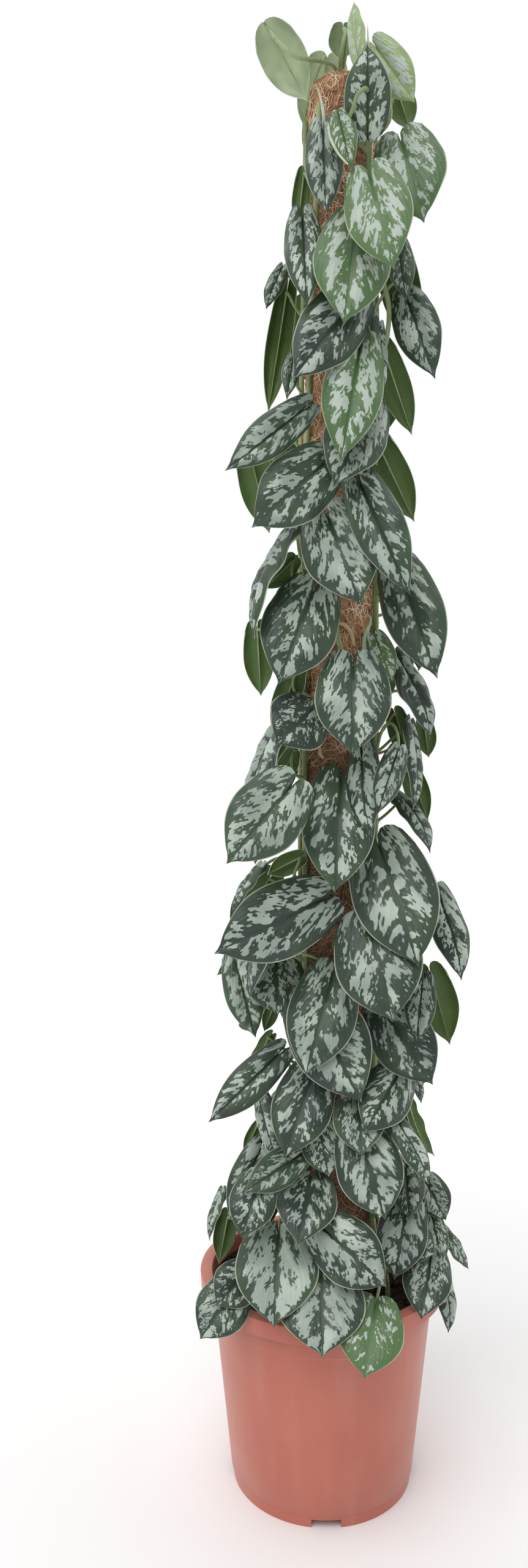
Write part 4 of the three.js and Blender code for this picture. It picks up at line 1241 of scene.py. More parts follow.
    @staticmethod
    def tangle() -> bpy.types.NodeTree:
        """Curly threads that cross each other, for matted fibre: contour lines of several soft noises."""
        takes = (("Place", VECTOR), ("Scale", FLOAT))
        tree, nodes, given, out = new_group("tangle", takes, (("Threads", FLOAT), ("Height", FLOAT)))
        threads: Number = 0.0
        for shift, width, stretch in ((0.0, 0.030, (1.0, 1.0, 0.6)), (3.7, 0.024, (1.1, 1.1, 1.5)),
                                      (8.1, 0.034, (0.6, 0.6, 1.0)), (5.3, 0.022, (1.7, 1.7, 1.2))):
            place = nodes.stretched(given["Place"], *stretch)
            moved = nodes.add("ShaderNodeVectorMath", {0: place, 1: (shift, -shift, shift)}, operation="ADD")
            noise = nodes.noise(moved.outputs[0], given["Scale"], 1.0, 0.4, 0.8)
            line = nodes.ramp(nodes.math("ABSOLUTE", nodes.math("SUBTRACT", noise, 0.5)), 0.0, width, 1.0, 0.0)
            threads = nodes.math("MAXIMUM", threads, line)
        soft = nodes.noise(given["Place"], given["Scale"], 3.0, 0.6)
        nodes.feed(out, Threads=threads, Height=nodes.math("ADD", threads, nodes.math("MULTIPLY", soft, 0.8)))
        return tree


def new_material(name: str, seen: Colour, **constants: float) -> tuple[Material, Nodes, bpy.types.Node]:
    """Starts a material.

    Args:
        name: the material's name.
        seen: its plain colour outside renders.
        constants: values that are the same all over, by the shader's input with underscores for blanks.

    Returns:
        The material, its nodes and its shader.
    """
    material = bpy.data.materials.new(name)
    material.use_nodes = True
    material.diffuse_color = (*seen, 1.0)
    shader = material.node_tree.nodes["Principled BSDF"]
    for label, value in constants.items():
        shader.inputs[label.replace("_", " ")].default_value = value
    return material, Nodes(material.node_tree), shader


@dataclass(frozen=True)
class LeafFinish:
    """Both faces and the edge of the leaves: dark, silver-blotched above and plain below."""

    old: Colour = (0.026, 0.040, 0.033)
    grown: Colour = (0.036, 0.063, 0.041)
    fresh: Colour = (0.088, 0.165, 0.062)
    young: Colour = (0.33, 0.45, 0.20)
    silver: Colour = (0.30, 0.37, 0.315)
    silver_light: Colour = (0.50, 0.57, 0.50)
    margin: Colour = (0.58, 0.62, 0.48)
    below: Colour = (0.085, 0.145, 0.035)
    below_young: Colour = (0.42, 0.50, 0.31)

    def figure(self, nodes: Nodes, effects: Effects, silvered: bool) -> tuple[dict, Socket]:
        """The blade's figure, read by what its corners carry: its own draw, age, silver and aspect.

        Args:
            nodes: the material's nodes.
            effects: the shared groups.
            silvered: whether this face has silver on it.

        Returns:
            The figure's outputs and the leaf's age.
        """
        carried = nodes.add("ShaderNodeAttribute", attribute_name="traits").outputs
        parts = nodes.add("ShaderNodeSeparateColor", {0: carried["Color"]}).outputs
        own_map = nodes.add("ShaderNodeUVMap", uv_map="UVMap").outputs["UV"]
        inputs = {"Map": own_map, "Seed": parts["Red"], "Silver": parts["Blue"] if silvered else 0.0,
                  "Aspect": carried["Alpha"]}
        return nodes.group(effects.figure, inputs).outputs, parts["Green"]

    def upper(self, effects: Effects) -> Material:
        """The blotched upper face."""
        material, nodes, shader = new_material("leaf_upper", self.grown, Roughness=0.42,
                                               Specular_IOR_Level=0.45)
        figure, age = self.figure(nodes, effects, True)
        ages = ((Age.OLD.value, self.old), (Age.GROWN.value, self.grown), (Age.FRESH.value, self.fresh),
                (Age.YOUNG.value, self.young))
        green = nodes.stops(age, *ages)
        lit = nodes.mix(nodes.ramp(figure["Cloud"], 0.4, 0.7, 0.0, 0.28), green, self.fresh)
        silvers = nodes.mix(nodes.ramp(figure["Cloud"], 0.35, 0.68), self.silver, self.silver_light)
        silvers = nodes.mix(nodes.ramp(age, 0.3, 0.6, 0.0, 0.7), silvers, self.silver_light)
        faced = nodes.mix(nodes.math("MULTIPLY", figure["Silver"], 0.94), lit, silvers)
        faced = nodes.mix(nodes.math("MULTIPLY", figure["Midrib"], 0.4), faced, green)
        edged = nodes.mix(nodes.math("MULTIPLY", figure["Margin"], 0.65), faced, self.margin)
        raised = nodes.add_up(nodes.math("MULTIPLY", figure["Vein"], 0.5),
                              nodes.math("MULTIPLY", figure["Midrib"], -1.6))
        nodes.feed(shader, Base_Color=edged, Normal=nodes.bump(raised, 0.35, 0.0006))
        return material

    def below_face(self, effects: Effects) -> Material:
        """The plain underside."""
        material, nodes, shader = new_material("leaf_below", self.below, Roughness=0.5, Specular_IOR_Level=0.4)
        figure, age = self.figure(nodes, effects, False)
        plain = nodes.mix(nodes.ramp(age, 0.4, 0.85), self.below, self.below_young)
        clouded = nodes.mix(nodes.ramp(figure["Cloud"], 0.35, 0.7, 0.0, 0.4), plain, self.fresh)
        veined = nodes.mix(nodes.math("MULTIPLY", figure["Midrib"], 0.5), clouded, self.below_young)
        nodes.feed(shader, Base_Color=veined, Normal=nodes.bump(figure["Vein"], 0.12, 0.0006))
        return material

    def edge(self) -> Material:
        """The thin pale rim of a blade."""
        material, nodes, shader = new_material("leaf_edge", self.margin, Roughness=0.5)
        mottle = nodes.noise(nodes.object_place(), 90.0)
        nodes.feed(shader, Base_Color=nodes.mix(nodes.ramp(mottle, 0.35, 0.65), self.margin, self.silver_light))
        return material


@dataclass(frozen=True)
class StalkFinish:
    """Stems, petioles, sheaths and aerial roots: smooth, paler in places and streaked lengthwise."""

    name: str
    plain: Colour
    pale: Colour
    streak: Colour
    roughness: float = 0.45

    def material(self, effects: Effects) -> Material:
        """The strands' material."""
        material, nodes, shader = new_material(self.name, self.plain, Roughness=self.roughness)
        place = nodes.object_place()
        broad = nodes.noise(place, 14.0, 2.0)
        streaks = nodes.noise(nodes.stretched(place, 500.0, 500.0, 60.0), 1.0, 2.0)
        tint = nodes.mix(nodes.ramp(broad, 0.35, 0.65), self.plain, self.pale)
        tint = nodes.mix(nodes.ramp(streaks, 0.5, 0.72, 0.0, 0.5), tint, self.streak)
        grain = effects.grained(nodes, place, 600.0)
        nodes.feed(shader, Base_Color=tint, Normal=nodes.bump(grain["Height"], 0.3, 0.0004))
        return material


@dataclass(frozen=True)
class FibreFinish:
    """Coconut fibre: dark gaps that are partly painted shade, orange-brown body, light threads and painted
    shade low down.
    """

    name: str
    dark: Colour
    middle: Colour
    light: Colour
    matted: bool = True
    roughness: float = 0.85
    # Painted shade of the leaves: its colour, full below the first height and gone above the second, in metres
    shade_full_below: float = 0.74
    shade_gone_above: float = 0.90
    painted_shade: Colour = (0.055, 0.022, 0.010)

    def material(self, effects: Effects) -> Material:
        """The fibre's material, with threads of its own where it is matted."""
        material, nodes, shader = new_material(self.name, self.middle, Roughness=self.roughness,
                                               Specular_IOR_Level=0.2)
        place = nodes.object_place()
        broad = nodes.noise(place, 30.0, 2.0)
        if self.matted:
            tangle = nodes.group(effects.threads, {"Place": place, "Scale": 190.0}).outputs
            clumps = nodes.noise(nodes.stretched(place, 1.0, 1.0, 0.6), 120.0, 3.0, 0.6)
            # The dark between the threads is partly the fibre's own deep brown and partly painted shade in the
            # gaps of the mat
            body = nodes.stops(clumps, (0.36, self.dark), (0.6, self.middle))
            tint = nodes.mix(nodes.math("MULTIPLY", tangle["Threads"], 0.85), body, self.light)
            nodes.feed(shader, Normal=nodes.bump(tangle["Height"], 0.9, 0.002))
        else:
            strands = nodes.noise(place, 75.0, 2.0, 0.6)
            tint = nodes.stops(strands, (0.34, self.dark), (0.5, self.middle), (0.66, self.light))
        tint = nodes.mix(nodes.ramp(broad, 0.42, 0.7, 0.0, 0.4), tint, self.middle)
        # Painted shade: darker towards the bottom, where the leaves shade the pole
        height = nodes.add("ShaderNodeSeparateXYZ", {0: place}).outputs["Z"]
        painted_shade = nodes.ramp(height, self.shade_full_below, self.shade_gone_above, 0.62, 0.0)
        nodes.feed(shader, Base_Color=nodes.mix(painted_shade, tint, self.painted_shade))
        return material


@dataclass(frozen=True)
class WoodFinish:
    """The pole's plain wooden core: pale, with dark grain along it."""

    pale: Colour = (0.48, 0.33, 0.19)
    grain: Colour = (0.25, 0.15, 0.075)

    def material(self, effects: Effects) -> Material:
        """The core's material."""
        material, nodes, shader = new_material("pole_wood", self.pale, Roughness=0.65)
        place = nodes.object_place()
        rings = nodes.noise(nodes.stretched(place, 260.0, 260.0, 9.0), 1.0, 3.0)
        fine = effects.grained(nodes, place, 500.0, 0.35, 0.7)
        tint = nodes.mix(nodes.ramp(rings, 0.4, 0.62), self.pale, self.grain)
        tint = nodes.mix(nodes.math("MULTIPLY", fine["Mask"], 0.25), tint, self.grain)
        nodes.feed(shader, Base_Color=tint, Normal=nodes.bump(rings, 0.4, 0.0005))
        return material


@dataclass(frozen=True)
class SoilFinish:
    """Damp potting soil: near black, with brown crumbs and fibres."""

    dark: Colour = (0.010, 0.006, 0.005)
    brown: Colour = (0.055, 0.028, 0.018)
    bark: Colour = (0.13, 0.062, 0.035)

    def material(self, effects: Effects) -> Material:
        """The soil's material."""
        material, nodes, shader = new_material("potting_soil", self.brown, Roughness=0.95,
                                               Specular_IOR_Level=0.2)
        place = nodes.object_place()
        crumbs = effects.grained(nodes, place, 160.0, 0.38, 0.68)
        chips = effects.grained(nodes, place, 70.0, 0.6, 0.68)
        tint = nodes.mix(crumbs["Mask"], self.dark, self.brown)
        tint = nodes.mix(nodes.math("MULTIPLY", chips["Mask"], 0.7), tint, self.bark)
        nodes.feed(shader, Base_Color=tint, Normal=nodes.bump(crumbs["Height"], 0.9, 0.003))
        return material


@dataclass(frozen=True)
class PlasticFinish:
    """Injection-moulded terracotta-coloured plastic: even, softly shining, a little dusty, with a painted sheen
    towards its outline.
    """

    body: Colour = (0.53, 0.155, 0.105)
    deep: Colour = (0.43, 0.105, 0.068)
    # Pale pink of the dust and draw marks, and also of the painted sheen at grazing angles
    dust_and_sheen: Colour = (0.60, 0.30, 0.25)

    def material(self, effects: Effects) -> Material:
        """The pot's material."""
        material, nodes, shader = new_material("pot_plastic", self.body, Specular_IOR_Level=0.55)
        place = nodes.object_place()
        broad = nodes.noise(place, 9.0, 2.0)
        drawn = nodes.noise(nodes.stretched(place, 40.0, 40.0, 5.0), 1.0, 3.0)
        fine = effects.grained(nodes, place, 1400.0, 0.45, 0.75)
        tint = nodes.mix(nodes.ramp(broad, 0.3, 0.7, 0.0, 0.5), self.body, self.deep)
        tint = nodes.mix(nodes.ramp(drawn, 0.45, 0.75, 0.0, 0.22), tint, self.dust_and_sheen)
        tint = nodes.mix(nodes.math("MULTIPLY", fine["Mask"], 0.08), tint, self.dust_and_sheen)
        # Painted sheen: paler where the wall turns away from view, standing in for the reflection of the white
        # room
        facing = nodes.add("ShaderNodeLayerWeight", {"Blend": 0.35}).outputs["Facing"]
        tint = nodes.mix(nodes.ramp(facing, 0.25, 0.95, 0.0, 0.45), tint, self.dust_and_sheen)
        nodes.feed(shader, Base_Color=tint, Roughness=nodes.ramp(drawn, 0.3, 0.7, 0.36, 0.46),
                   Normal=nodes.bump(fine["Height"], 0.12, 0.0002))
        return material


# Modelling
class Bench:
    """Turns lengths in the growth rule into places in the frame, and holds the tools that shape pieces."""

    def __init__(self) -> None:
        """Finds the pot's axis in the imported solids."""
        low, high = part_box("pot")
        self.axis = np.array(((low[0] + high[0]) / 2, (low[1] + high[1]) / 2, 0.0))

    def place(self, points: np.ndarray) -> np.ndarray:
        """Points of the growth rule, in millimetres, as points of the frame, in metres."""
        return points * METRE + self.axis

    @staticmethod
    def clear_selection() -> None:
        """Leaves no object selected."""
        if bpy.context.object and bpy.context.object.mode != "OBJECT":
            bpy.ops.object.mode_set(mode="OBJECT")
        bpy.ops.object.select_all(action="DESELECT")

    def pick(self, *objects: Piece) -> None:
        """Selects only these objects and makes the first one active."""
        self.clear_selection()
        for piece in objects:
            piece.select_set(True)
        bpy.context.view_layer.objects.active = objects[0]

    @staticmethod
    def corners(piece: Piece) -> np.ndarray:
        """A mesh's corners, one row for each."""
        rows = np.empty(len(piece.data.vertices) * 3)
        piece.data.vertices.foreach_get("co", rows)
        return rows.reshape(-1, 3)

    @staticmethod
    def set_corners(piece: Piece, rows: np.ndarray) -> None:
        """Moves a mesh's corners."""
        piece.data.vertices.foreach_set("co", np.ascontiguousarray(rows, dtype=float).ravel())
        piece.data.update()

    def lay(self, piece: Piece, points: np.ndarray) -> None:
        """Moves a mesh's corners to points of the growth rule."""
        self.set_corners(piece, self.place(points))

    def measured(self, piece: Piece) -> np.ndarray:
        """A mesh's corners as points of the growth rule."""
        return (self.corners(piece) - self.axis) / METRE

    @staticmethod
    def twin(piece: Piece) -> Piece:
        """A copy with a mesh of its own."""
        twin = piece.copy()
        twin.data = piece.data.copy()
        bpy.context.collection.objects.link(twin)
        return twin

    def sheet(self, columns: int, rows: int) -> Piece:
        """A flat grid one metre wide, as a start for a blade or a wrapped surface."""
        self.clear_selection()
        bpy.ops.mesh.primitive_grid_add(x_subdivisions=columns, y_subdivisions=rows, size=1.0)
        return bpy.context.object

    @staticmethod
    def named(name: str) -> Piece:
        """Names the active object and its mesh."""
        piece = bpy.context.object
        piece.name = piece.data.name = name
        return piece

    def joined(self, name: str, pieces: Sequence[Piece]) -> Piece:
        """Several objects as one, with the given name.

        Args:
            name: the new name.
            pieces: the objects.

        Returns:
            The one object.
        """
        self.pick(*pieces)
        if len(pieces) > 1:
            bpy.ops.object.join()
        return self.named(name)

    def modify(self, piece: Piece, kind: str, **settings: object) -> None:
        """Adds a modifier and applies it.

        Args:
            piece: the mesh object.
            kind: the modifier's type.
            settings: the modifier's settings.
        """
        self.pick(piece)
        modifier = piece.modifiers.new(kind.lower(), kind)
        for label, value in settings.items():
            setattr(modifier, label, value)
        bpy.ops.object.modifier_apply(modifier=modifier.name)

    def edit(self, piece: Piece, tool: Callable, **settings: object) -> None:
        """Runs an editing tool on the whole of a mesh."""
        self.pick(piece)
        bpy.ops.object.mode_set(mode="EDIT")
        bpy.ops.mesh.select_all(action="SELECT")
        tool(**settings)
        bpy.ops.object.mode_set(mode="OBJECT")

    def weld(self, piece: Piece, distance: float) -> None:
        """Merges corners that lie on each other."""
        self.edit(piece, bpy.ops.mesh.remove_doubles, threshold=distance)

    def soften(self, piece: Piece, degrees: float = 40.0) -> None:
        """Shades a piece smooth, but for edges sharper than an angle."""
        self.pick(piece)
        bpy.ops.object.shade_smooth_by_angle(angle=math.radians(degrees))

    def tubes(self, name: str, lines: Sequence[Strand], around: int) -> Piece:
        """Round strands as one mesh.

        Args:
            name: the piece's name.
            lines: for each strand its points in the growth rule and its radius at each of them, in millimetres.
            around: how finely each is rounded: 0 for four sides, and two more on each quarter after that.

        Returns:
            The mesh object.
        """
        self.clear_selection()
        bpy.ops.curve.primitive_bezier_curve_add()
        strands = bpy.context.object
        curve = strands.data
        curve.splines.clear()
        curve.dimensions = "3D"
        curve.bevel_depth = METRE
        curve.bevel_resolution = around
        curve.use_fill_caps = True
        curve.twist_mode = "MINIMUM"
        for points, radii in lines:
            spline = curve.splines.new("POLY")
            spline.points.add(len(points) - 1)
            rows = np.concatenate((self.place(points), np.ones((len(points), 1))), axis=1)
            spline.points.foreach_set("co", rows.ravel())
            spline.points.foreach_set("radius", np.asarray(radii, dtype=float))
        self.pick(strands)
        bpy.ops.object.convert(target="MESH")
        return self.named(name)

    def turned(self, name: str, outline: Sequence[tuple[float, float]], sides: int, x: float = 0.0) -> Piece:
        """A piece turned round an upright axis, drawn ring by ring.

        Args:
            name: the piece's name.
            outline: radius and height of each ring in millimetres, once round the section.
            sides: how many sides it has.
            x: how far its axis stands to the right of the pot's.

        Returns:
            The mesh object, closed where the outline starts and ends on the axis or meets itself.
        """
        rings = [(max(radius, 0.0), z) for radius, z in outline]
        piece = self.sheet(sides, len(rings) - 1)
        flat = self.corners(piece)
        turn = (flat[:, 0] + 0.5) * 2 * math.pi
        row = np.rint((flat[:, 1] + 0.5) * (len(rings) - 1)).astype(int)
        radius, height = np.array(rings)[row].T
        self.lay(piece, np.stack((x + radius * np.cos(turn), radius * np.sin(turn), height), axis=1))
        self.named(name)
        self.weld(piece, 1e-6)
        self.edit(piece, bpy.ops.mesh.normals_make_consistent, inside=False)
        return piece

    @staticmethod
    def dress(piece: Piece, *materials: Material) -> None:
        """Gives a piece its materials."""
        piece.data.materials.clear()
        for material in materials:
            piece.data.materials.append(material)

    @staticmethod
    def hand_over(piece: Piece, slot: str, *nodes: str) -> None:
        """Tells the frame what a piece rides on and which solids it stands for.

        Args:
            piece: the finished piece.
            slot: its material slot; not used.
            nodes: the solids it stands for.
        """
        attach(piece, BODY)
        if nodes:
            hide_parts(*nodes)
        LOG.info("%s: %d faces", piece.name, len(piece.data.polygons))


@dataclass
class Foliage:
    """The leafy stems: fine blades, petioles with their keels, climbing stems and aerial roots."""

    bench: Bench
    growth: Growth
    effects: Effects
    columns: int = 26
    rows: int = 14
    base: float = 0.3
    stoutness: dict[str, float] = field(default_factory=lambda: {
        "arching": 2.3, "upright": 2.4, "looped": 2.1, "hanging": 2.7, "thick": 2.7})
    leaf_finish: LeafFinish = field(default_factory=LeafFinish)
    strand_finishes: dict[Part, StalkFinish] = field(default_factory=lambda: {
        Part.STALK: StalkFinish("stalk", (0.20, 0.28, 0.11), (0.36, 0.44, 0.24), (0.16, 0.11, 0.055)),
        Part.SHEATH: StalkFinish("sheath", (0.40, 0.49, 0.32), (0.60, 0.66, 0.50), (0.33, 0.40, 0.24)),
        Part.ROOT: StalkFinish("aerial_root", (0.50, 0.36, 0.21), (0.70, 0.55, 0.37), (0.24, 0.14, 0.07), 0.7)})

    def pattern(self) -> Piece:
        """The blade's flat grid, with its length along x and its halves along y, and mapped by the same two."""
        piece = self.bench.sheet(self.columns, self.rows)
        piece.name = "blade_pattern"
        flat = self.bench.corners(piece)
        u, across = flat[:, 0] + 0.5, flat[:, 1] * -2
        rounded = np.sign(across) * (1 - np.cos(np.pi * np.abs(across))) / 2
        share = np.clip(u / self.base, 0, 1)
        q = rounded + (across - rounded) * share * share * (3 - 2 * share)
        self.bench.set_corners(piece, np.stack((u, q, np.zeros(len(u))), axis=1))
        corner = np.empty(len(piece.data.loops), dtype=int)
        piece.data.loops.foreach_get("vertex_index", corner)
        own_map = np.stack((u, (q + 1) / 2), axis=1)[corner]
        piece.data.uv_layers.active.data.foreach_set("uv", own_map.ravel())
        return piece

    @staticmethod
    def outline(u: np.ndarray) -> np.ndarray:
        """Share of the half width: full shoulders, and a drip tip."""
        full = np.sin(np.pi * (0.34 + 0.66 * u ** 1.5)) * (1 - 0.35 * u ** 10)
        shoulder = 1 - 0.1 * np.clip(1 - u / 0.13, 0, 1) ** 2
        share = np.clip((u - 0.87) / 0.1, 0, 1)
        return full * shoulder * (1 - 0.4 * share * share * (3 - 2 * share))

    @staticmethod
    def lobes(u: np.ndarray, q: np.ndarray, lobe: float) -> np.ndarray:
        """How far the base's two round lobes reach behind the notch, as a share of the blade's length."""
        side = np.abs(2 * np.abs(q) ** 0.8 - 1)
        round_lobe = lobe * np.clip(1 - side ** 2.3, 0, 1) ** (1 / 2.3)
        rounding = 0.06 + 0.14 * max(0.0, 1 - lobe / BLADE.lobe)
        return (round_lobe - rounding * np.abs(q) ** 3) * (1 - u) ** 3

    @staticmethod
    def relief(u: np.ndarray, q: np.ndarray, phase: float) -> np.ndarray:
        """Height of the swelling between veins and of the midrib's groove, as a share of the length.

        Args:
            u: places along the midrib.
            q: places across.
            phase: where the swelling starts.

        Returns:
            The height at each place.
        """
        side = np.abs(q)
        vein = u - 0.8 * side ** 1.4
        wide = half_width(u)
        quilt = 0.004 * np.sin(2 * np.pi * 7 * vein + phase) * side * (1 - side) * 4 * wide
        gull = (0.018 * np.sin(np.pi * side) - 0.018 * side ** 4) * wide
        return quilt + gull - 0.005 * np.exp(-(q / 0.1) ** 2) * (1 - u)

    def blade(self, pattern: Piece, leaf: Leaf) -> Piece:
        """One leaf's sheet, copied from the pattern and laid on its blade.

        Args:
            pattern: the flat grid.
            leaf: the leaf.

        Returns:
            The leaf's mesh object.
        """
        sheet = self.bench.twin(pattern)
        flat = self.bench.corners(sheet)
        u, q = flat[:, 0], flat[:, 1]
        blade = leaf.blade
        self.bench.lay(sheet, blade.points(u, q, self.outline(u), self.relief(u, q, blade.phase),
                                           self.lobes(u, q, blade.lobe)))
        random = draws(leaf.seed + 5000)
        seed, age, silver = random(), random() * 0.3, 0.42 + 0.28 * random()
        if leaf.reading and leaf.reading.age:
            age = leaf.reading.age.value + 0.06 * (random() - 0.5)
        if leaf.reading and leaf.reading.silver is not None:
            silver = leaf.reading.silver
        aspect = 1.0
        if leaf.reading:
            x, y, tip_x, tip_y = leaf.reading.at
            aspect = min(1.1, leaf.reading.wide / math.hypot(tip_x - x, tip_y - y) / 0.8)
        traits = sheet.data.attributes.new("traits", "FLOAT_COLOR", "POINT")
        row = np.array((seed, max(0.0, age), silver, aspect))
        traits.data.foreach_set("color", np.tile(row, len(flat)))
        return sheet

    def petiole_line(self, leaf: Leaf) -> Strand:
        """A petiole's points and radii, thicker at its sheath and its knee."""
        route = leaf.reading.route if leaf.reading else ""
        shares = np.linspace(0, 1, 30 if route else 18)
        points = leaf.petiole.points(shares)
        radii = 1.0 + 0.35 * np.exp(-shares / 0.12) + 0.16 * np.exp(-((shares - 0.93) / 0.05) ** 2)
        slim_end = 1 - 0.55 * np.clip((shares - 0.94) / 0.06, 0, 1)
        return points, radii * slim_end * self.stoutness.get(route, 1.6)

    def keel_line(self, leaf: Leaf) -> Strand:
        """The raised midrib along a blade's underside."""
        u = np.linspace(0.0, 0.9, 12)
        radii = 1.1 * (1 - u) + 0.15
        points = leaf.blade.points(u, np.zeros(len(u)), None, self.relief(u, np.zeros(len(u)), 0.0))
        return points - np.outer(radii + 0.05, leaf.blade.face), radii

    def stem_line(self, stem: Stem, joints: Sequence[float]) -> Strand:
        """A climbing stem's points and radii, swollen at the joints that bear its petioles."""
        heights = np.arange(SOIL.top - STEM.buried + 4, STEM.top + 0.1, 7.0)
        middles = np.array([stem_point(stem, max(z, SOIL.top)) for z in heights])
        middles[:, 2] = heights
        swell = sum(np.exp(-((heights - joint) / 5.0) ** 2) for joint in joints)
        radii = STEM.radius * (0.86 + 0.2 * np.minimum(1, swell))
        radii[-1] = STEM.radius * 0.3
        radii[-2] = STEM.radius * 0.75
        return middles, radii

    def rolled_margin(self, leaf: Leaf) -> Strand:
        """The roll along the left margin of a leaf that is still unfolding."""
        u = np.linspace(0.0, 0.92, 24)
        flat = np.ones(len(u))
        sides = [leaf.blade.points(u, flat * q, self.outline(u), self.relief(u, flat * q, leaf.blade.phase),
                                   self.lobes(u, flat * q, leaf.blade.lobe)) for q in (-0.95, 0.95)]
        left = min(sides, key=lambda points: points[:, 0].mean())
        return left + leaf.blade.face * 0.6, 0.35 + 1.5 * np.sin(np.pi * u ** 0.8) ** 0.7

    def sprout_line(self, sprout: Sprout) -> Strand:
        """A sprout's points and radii."""
        corners = np.array([self.growth.eye.at(x, y, behind) for x, y, behind, _ in sprout.way])
        shares = np.linspace(0, 1, 8 * len(corners))
        radii = np.interp(shares, np.linspace(0, 1, len(corners)), [radius for *_, radius in sprout.way])
        return Through(list(corners)).points(shares), radii

    def strands(self, index: int, leaves: Sequence[Leaf]) -> dict[Part, list[Strand]]:
        """All round strands of a stem by kind: itself, petioles, keels, rolled margins, sheaths and roots.

        Args:
            index: the stem's number.
            leaves: the leaves on it.

        Returns:
            For each kind its strands.
        """
        joints = [float(leaf.petiole.points(np.zeros(1))[0][2]) for leaf in leaves]
        own = [sprout for sprout in SPROUTS if sprout.stem == index]
        lines = {part: [self.sprout_line(sprout) for sprout in own if sprout.part is part] for part in Part}
        lines[Part.STALK] += map(self.petiole_line, leaves)
        lines[Part.STALK] += map(self.keel_line, leaves)
        lines[Part.STALK].append(self.stem_line(STEMS[index], joints))
        rolled = [leaf for leaf in leaves if leaf.reading and leaf.reading.rolled]
        lines[Part.SHEATH] += map(self.rolled_margin, rolled)
        return lines

    def build(self) -> None:
        """Makes each leafy stem and puts it in its solid's place."""
        faces = [self.leaf_finish.upper(self.effects), self.leaf_finish.below_face(self.effects),
                 self.leaf_finish.edge()]
        looks = {part: finish.material(self.effects) for part, finish in self.strand_finishes.items()}
        pattern = self.pattern()
        for index, stem in enumerate(STEMS):
            leaves = [leaf for leaf in self.growth.leaves if leaf.stem == index and leaf.petiole]
            blades = self.bench.joined(f"{stem.name}_blades", [self.blade(pattern, leaf) for leaf in leaves])
            self.bench.weld(blades, 1e-7)
            self.bench.dress(blades, *faces)
            self.bench.modify(blades, "SOLIDIFY", thickness=BLADE.thickness * METRE, offset=0.0,
                              material_offset=1, material_offset_rim=2)
            parts = [blades]
            for part, lines in self.strands(index, leaves).items():
                if lines:
                    strands = self.bench.tubes(f"{stem.name}_{part.value}", lines, 2)
                    self.bench.dress(strands, looks[part])
                    parts.append(strands)
            piece = self.bench.joined(f"{stem.name}_fine", parts)
            self.bench.soften(piece, 50.0)
            self.bench.hand_over(piece, "leaf", stem.name)
        bpy.data.objects.remove(pattern)


@dataclass
class NurseryPot:
    """The pot: thin wall, foot ring with notches, band, turned-down rim and floor with drain holes."""

    bench: Bench
    finish: PlasticFinish = field(default_factory=PlasticFinish)

    def outline(self) -> list[tuple[float, float]]:
        """The wall's section, once round, with small rounds at its edges."""
        top, under_rim, floor = POT.height, POT.height - POT.rim_height, POT.floor_height
        foot, rim, lip = POT.foot_radius, POT.rim_radius, POT.rim_radius - POT.rim_wall
        ledge = top - POT.rim_wall
        inner = [POT.radius(z) - POT.wall for z in (under_rim, POT.band_height, POT.foot_height + 10)]
        foot_ring = [(0, floor), (foot - 4.2, floor), (foot - 3.8, floor - 0.4), (foot - 3.2, 0.3),
                     (foot - 2.9, 0), (foot - 0.4, 0), (foot, 0.4),
                     (POT.radius(POT.foot_height - 1), POT.foot_height - 0.5)]
        wall = [(POT.radius(POT.foot_height) - 0.4, POT.foot_height)]
        wall += [(POT.radius(z), z + lift) for z, lift in (
            (POT.foot_height, 0.5), (60, 0), (110, 0), (160, 0), (POT.band_height - 2, 0), (POT.band_height, 0),
            (under_rim, 0))]
        outer = POT.radius(under_rim)
        turned_rim = [(outer + 0.4, ledge - 0.6), (outer + 1.0, ledge), (lip - 1.2, ledge),
                      (lip - 0.8, ledge - 0.6), (lip - 1.2, under_rim + 0.4), (lip - 0.8, under_rim),
                      (rim - 1.4, under_rim), (rim - 1, under_rim + 0.4), (rim, top - 2.2),
                      (rim - 0.6, top - 0.6), (rim - 2.2, top)]
        inside = [(inner[0] + 2.4, top), (inner[0] + 0.8, top - 0.7), (inner[0], top - 2.6),
                  (inner[1], POT.band_height), (inner[2], POT.floor_top + 8), (inner[2] - 2, POT.floor_top + 2),
                  (inner[2] - 7, POT.floor_top), (0, POT.floor_top)]
        return foot_ring + wall + turned_rim + inside

    def cutter(self, width: float, depth: float, height: float, x: float, y: float, turn: float) -> Piece:
        """A block that cuts a notch.

        Args:
            width: its width.
            depth: its depth.
            height: its height.
            x: how far to the right it stands.
            y: how far back it stands.
            turn: its turn round the pot's axis.

        Returns:
            The block.
        """
        self.bench.clear_selection()
        bpy.ops.mesh.primitive_cube_add(size=1.0)
        block = bpy.context.object
        rows = self.bench.corners(block) * (width, depth, height) + (x, y, 0)
        self.bench.lay(block, spun(rows, turn))
        return block

    def build(self, effects: Effects) -> None:
        """Makes the pot in its solid's place."""
        pot = self.bench.turned("pot_shell", self.outline(), POT.sides)
        tools = []
        for index in range(POT.notches):
            turn = index * 2 * math.pi / POT.notches
            tools.append(self.cutter(POT.notch_width, 40, 2 * POT.notch_height, 0, -POT.foot_radius, turn))
        for index in range(POT.drains):
            turn = (index + 0.5) * 2 * math.pi / POT.drains
            bpy.ops.mesh.primitive_cylinder_add(vertices=24, radius=POT.drain_radius * METRE, depth=30 * METRE)
            hole = bpy.context.object
            way = vector(math.cos(turn) * POT.drain_circle, math.sin(turn) * POT.drain_circle, POT.floor_height)
            self.bench.set_corners(hole, self.bench.corners(hole) + self.bench.place(way))
            tools.append(hole)
        for tool in tools:
            self.bench.modify(pot, "BOOLEAN", operation="DIFFERENCE", object=tool, solver="EXACT")
            bpy.data.objects.remove(tool)
        self.bench.dress(pot, self.finish.material(effects))
        self.bench.soften(pot, 35.0)
        self.bench.hand_over(pot, "pot_plastic", "pot")


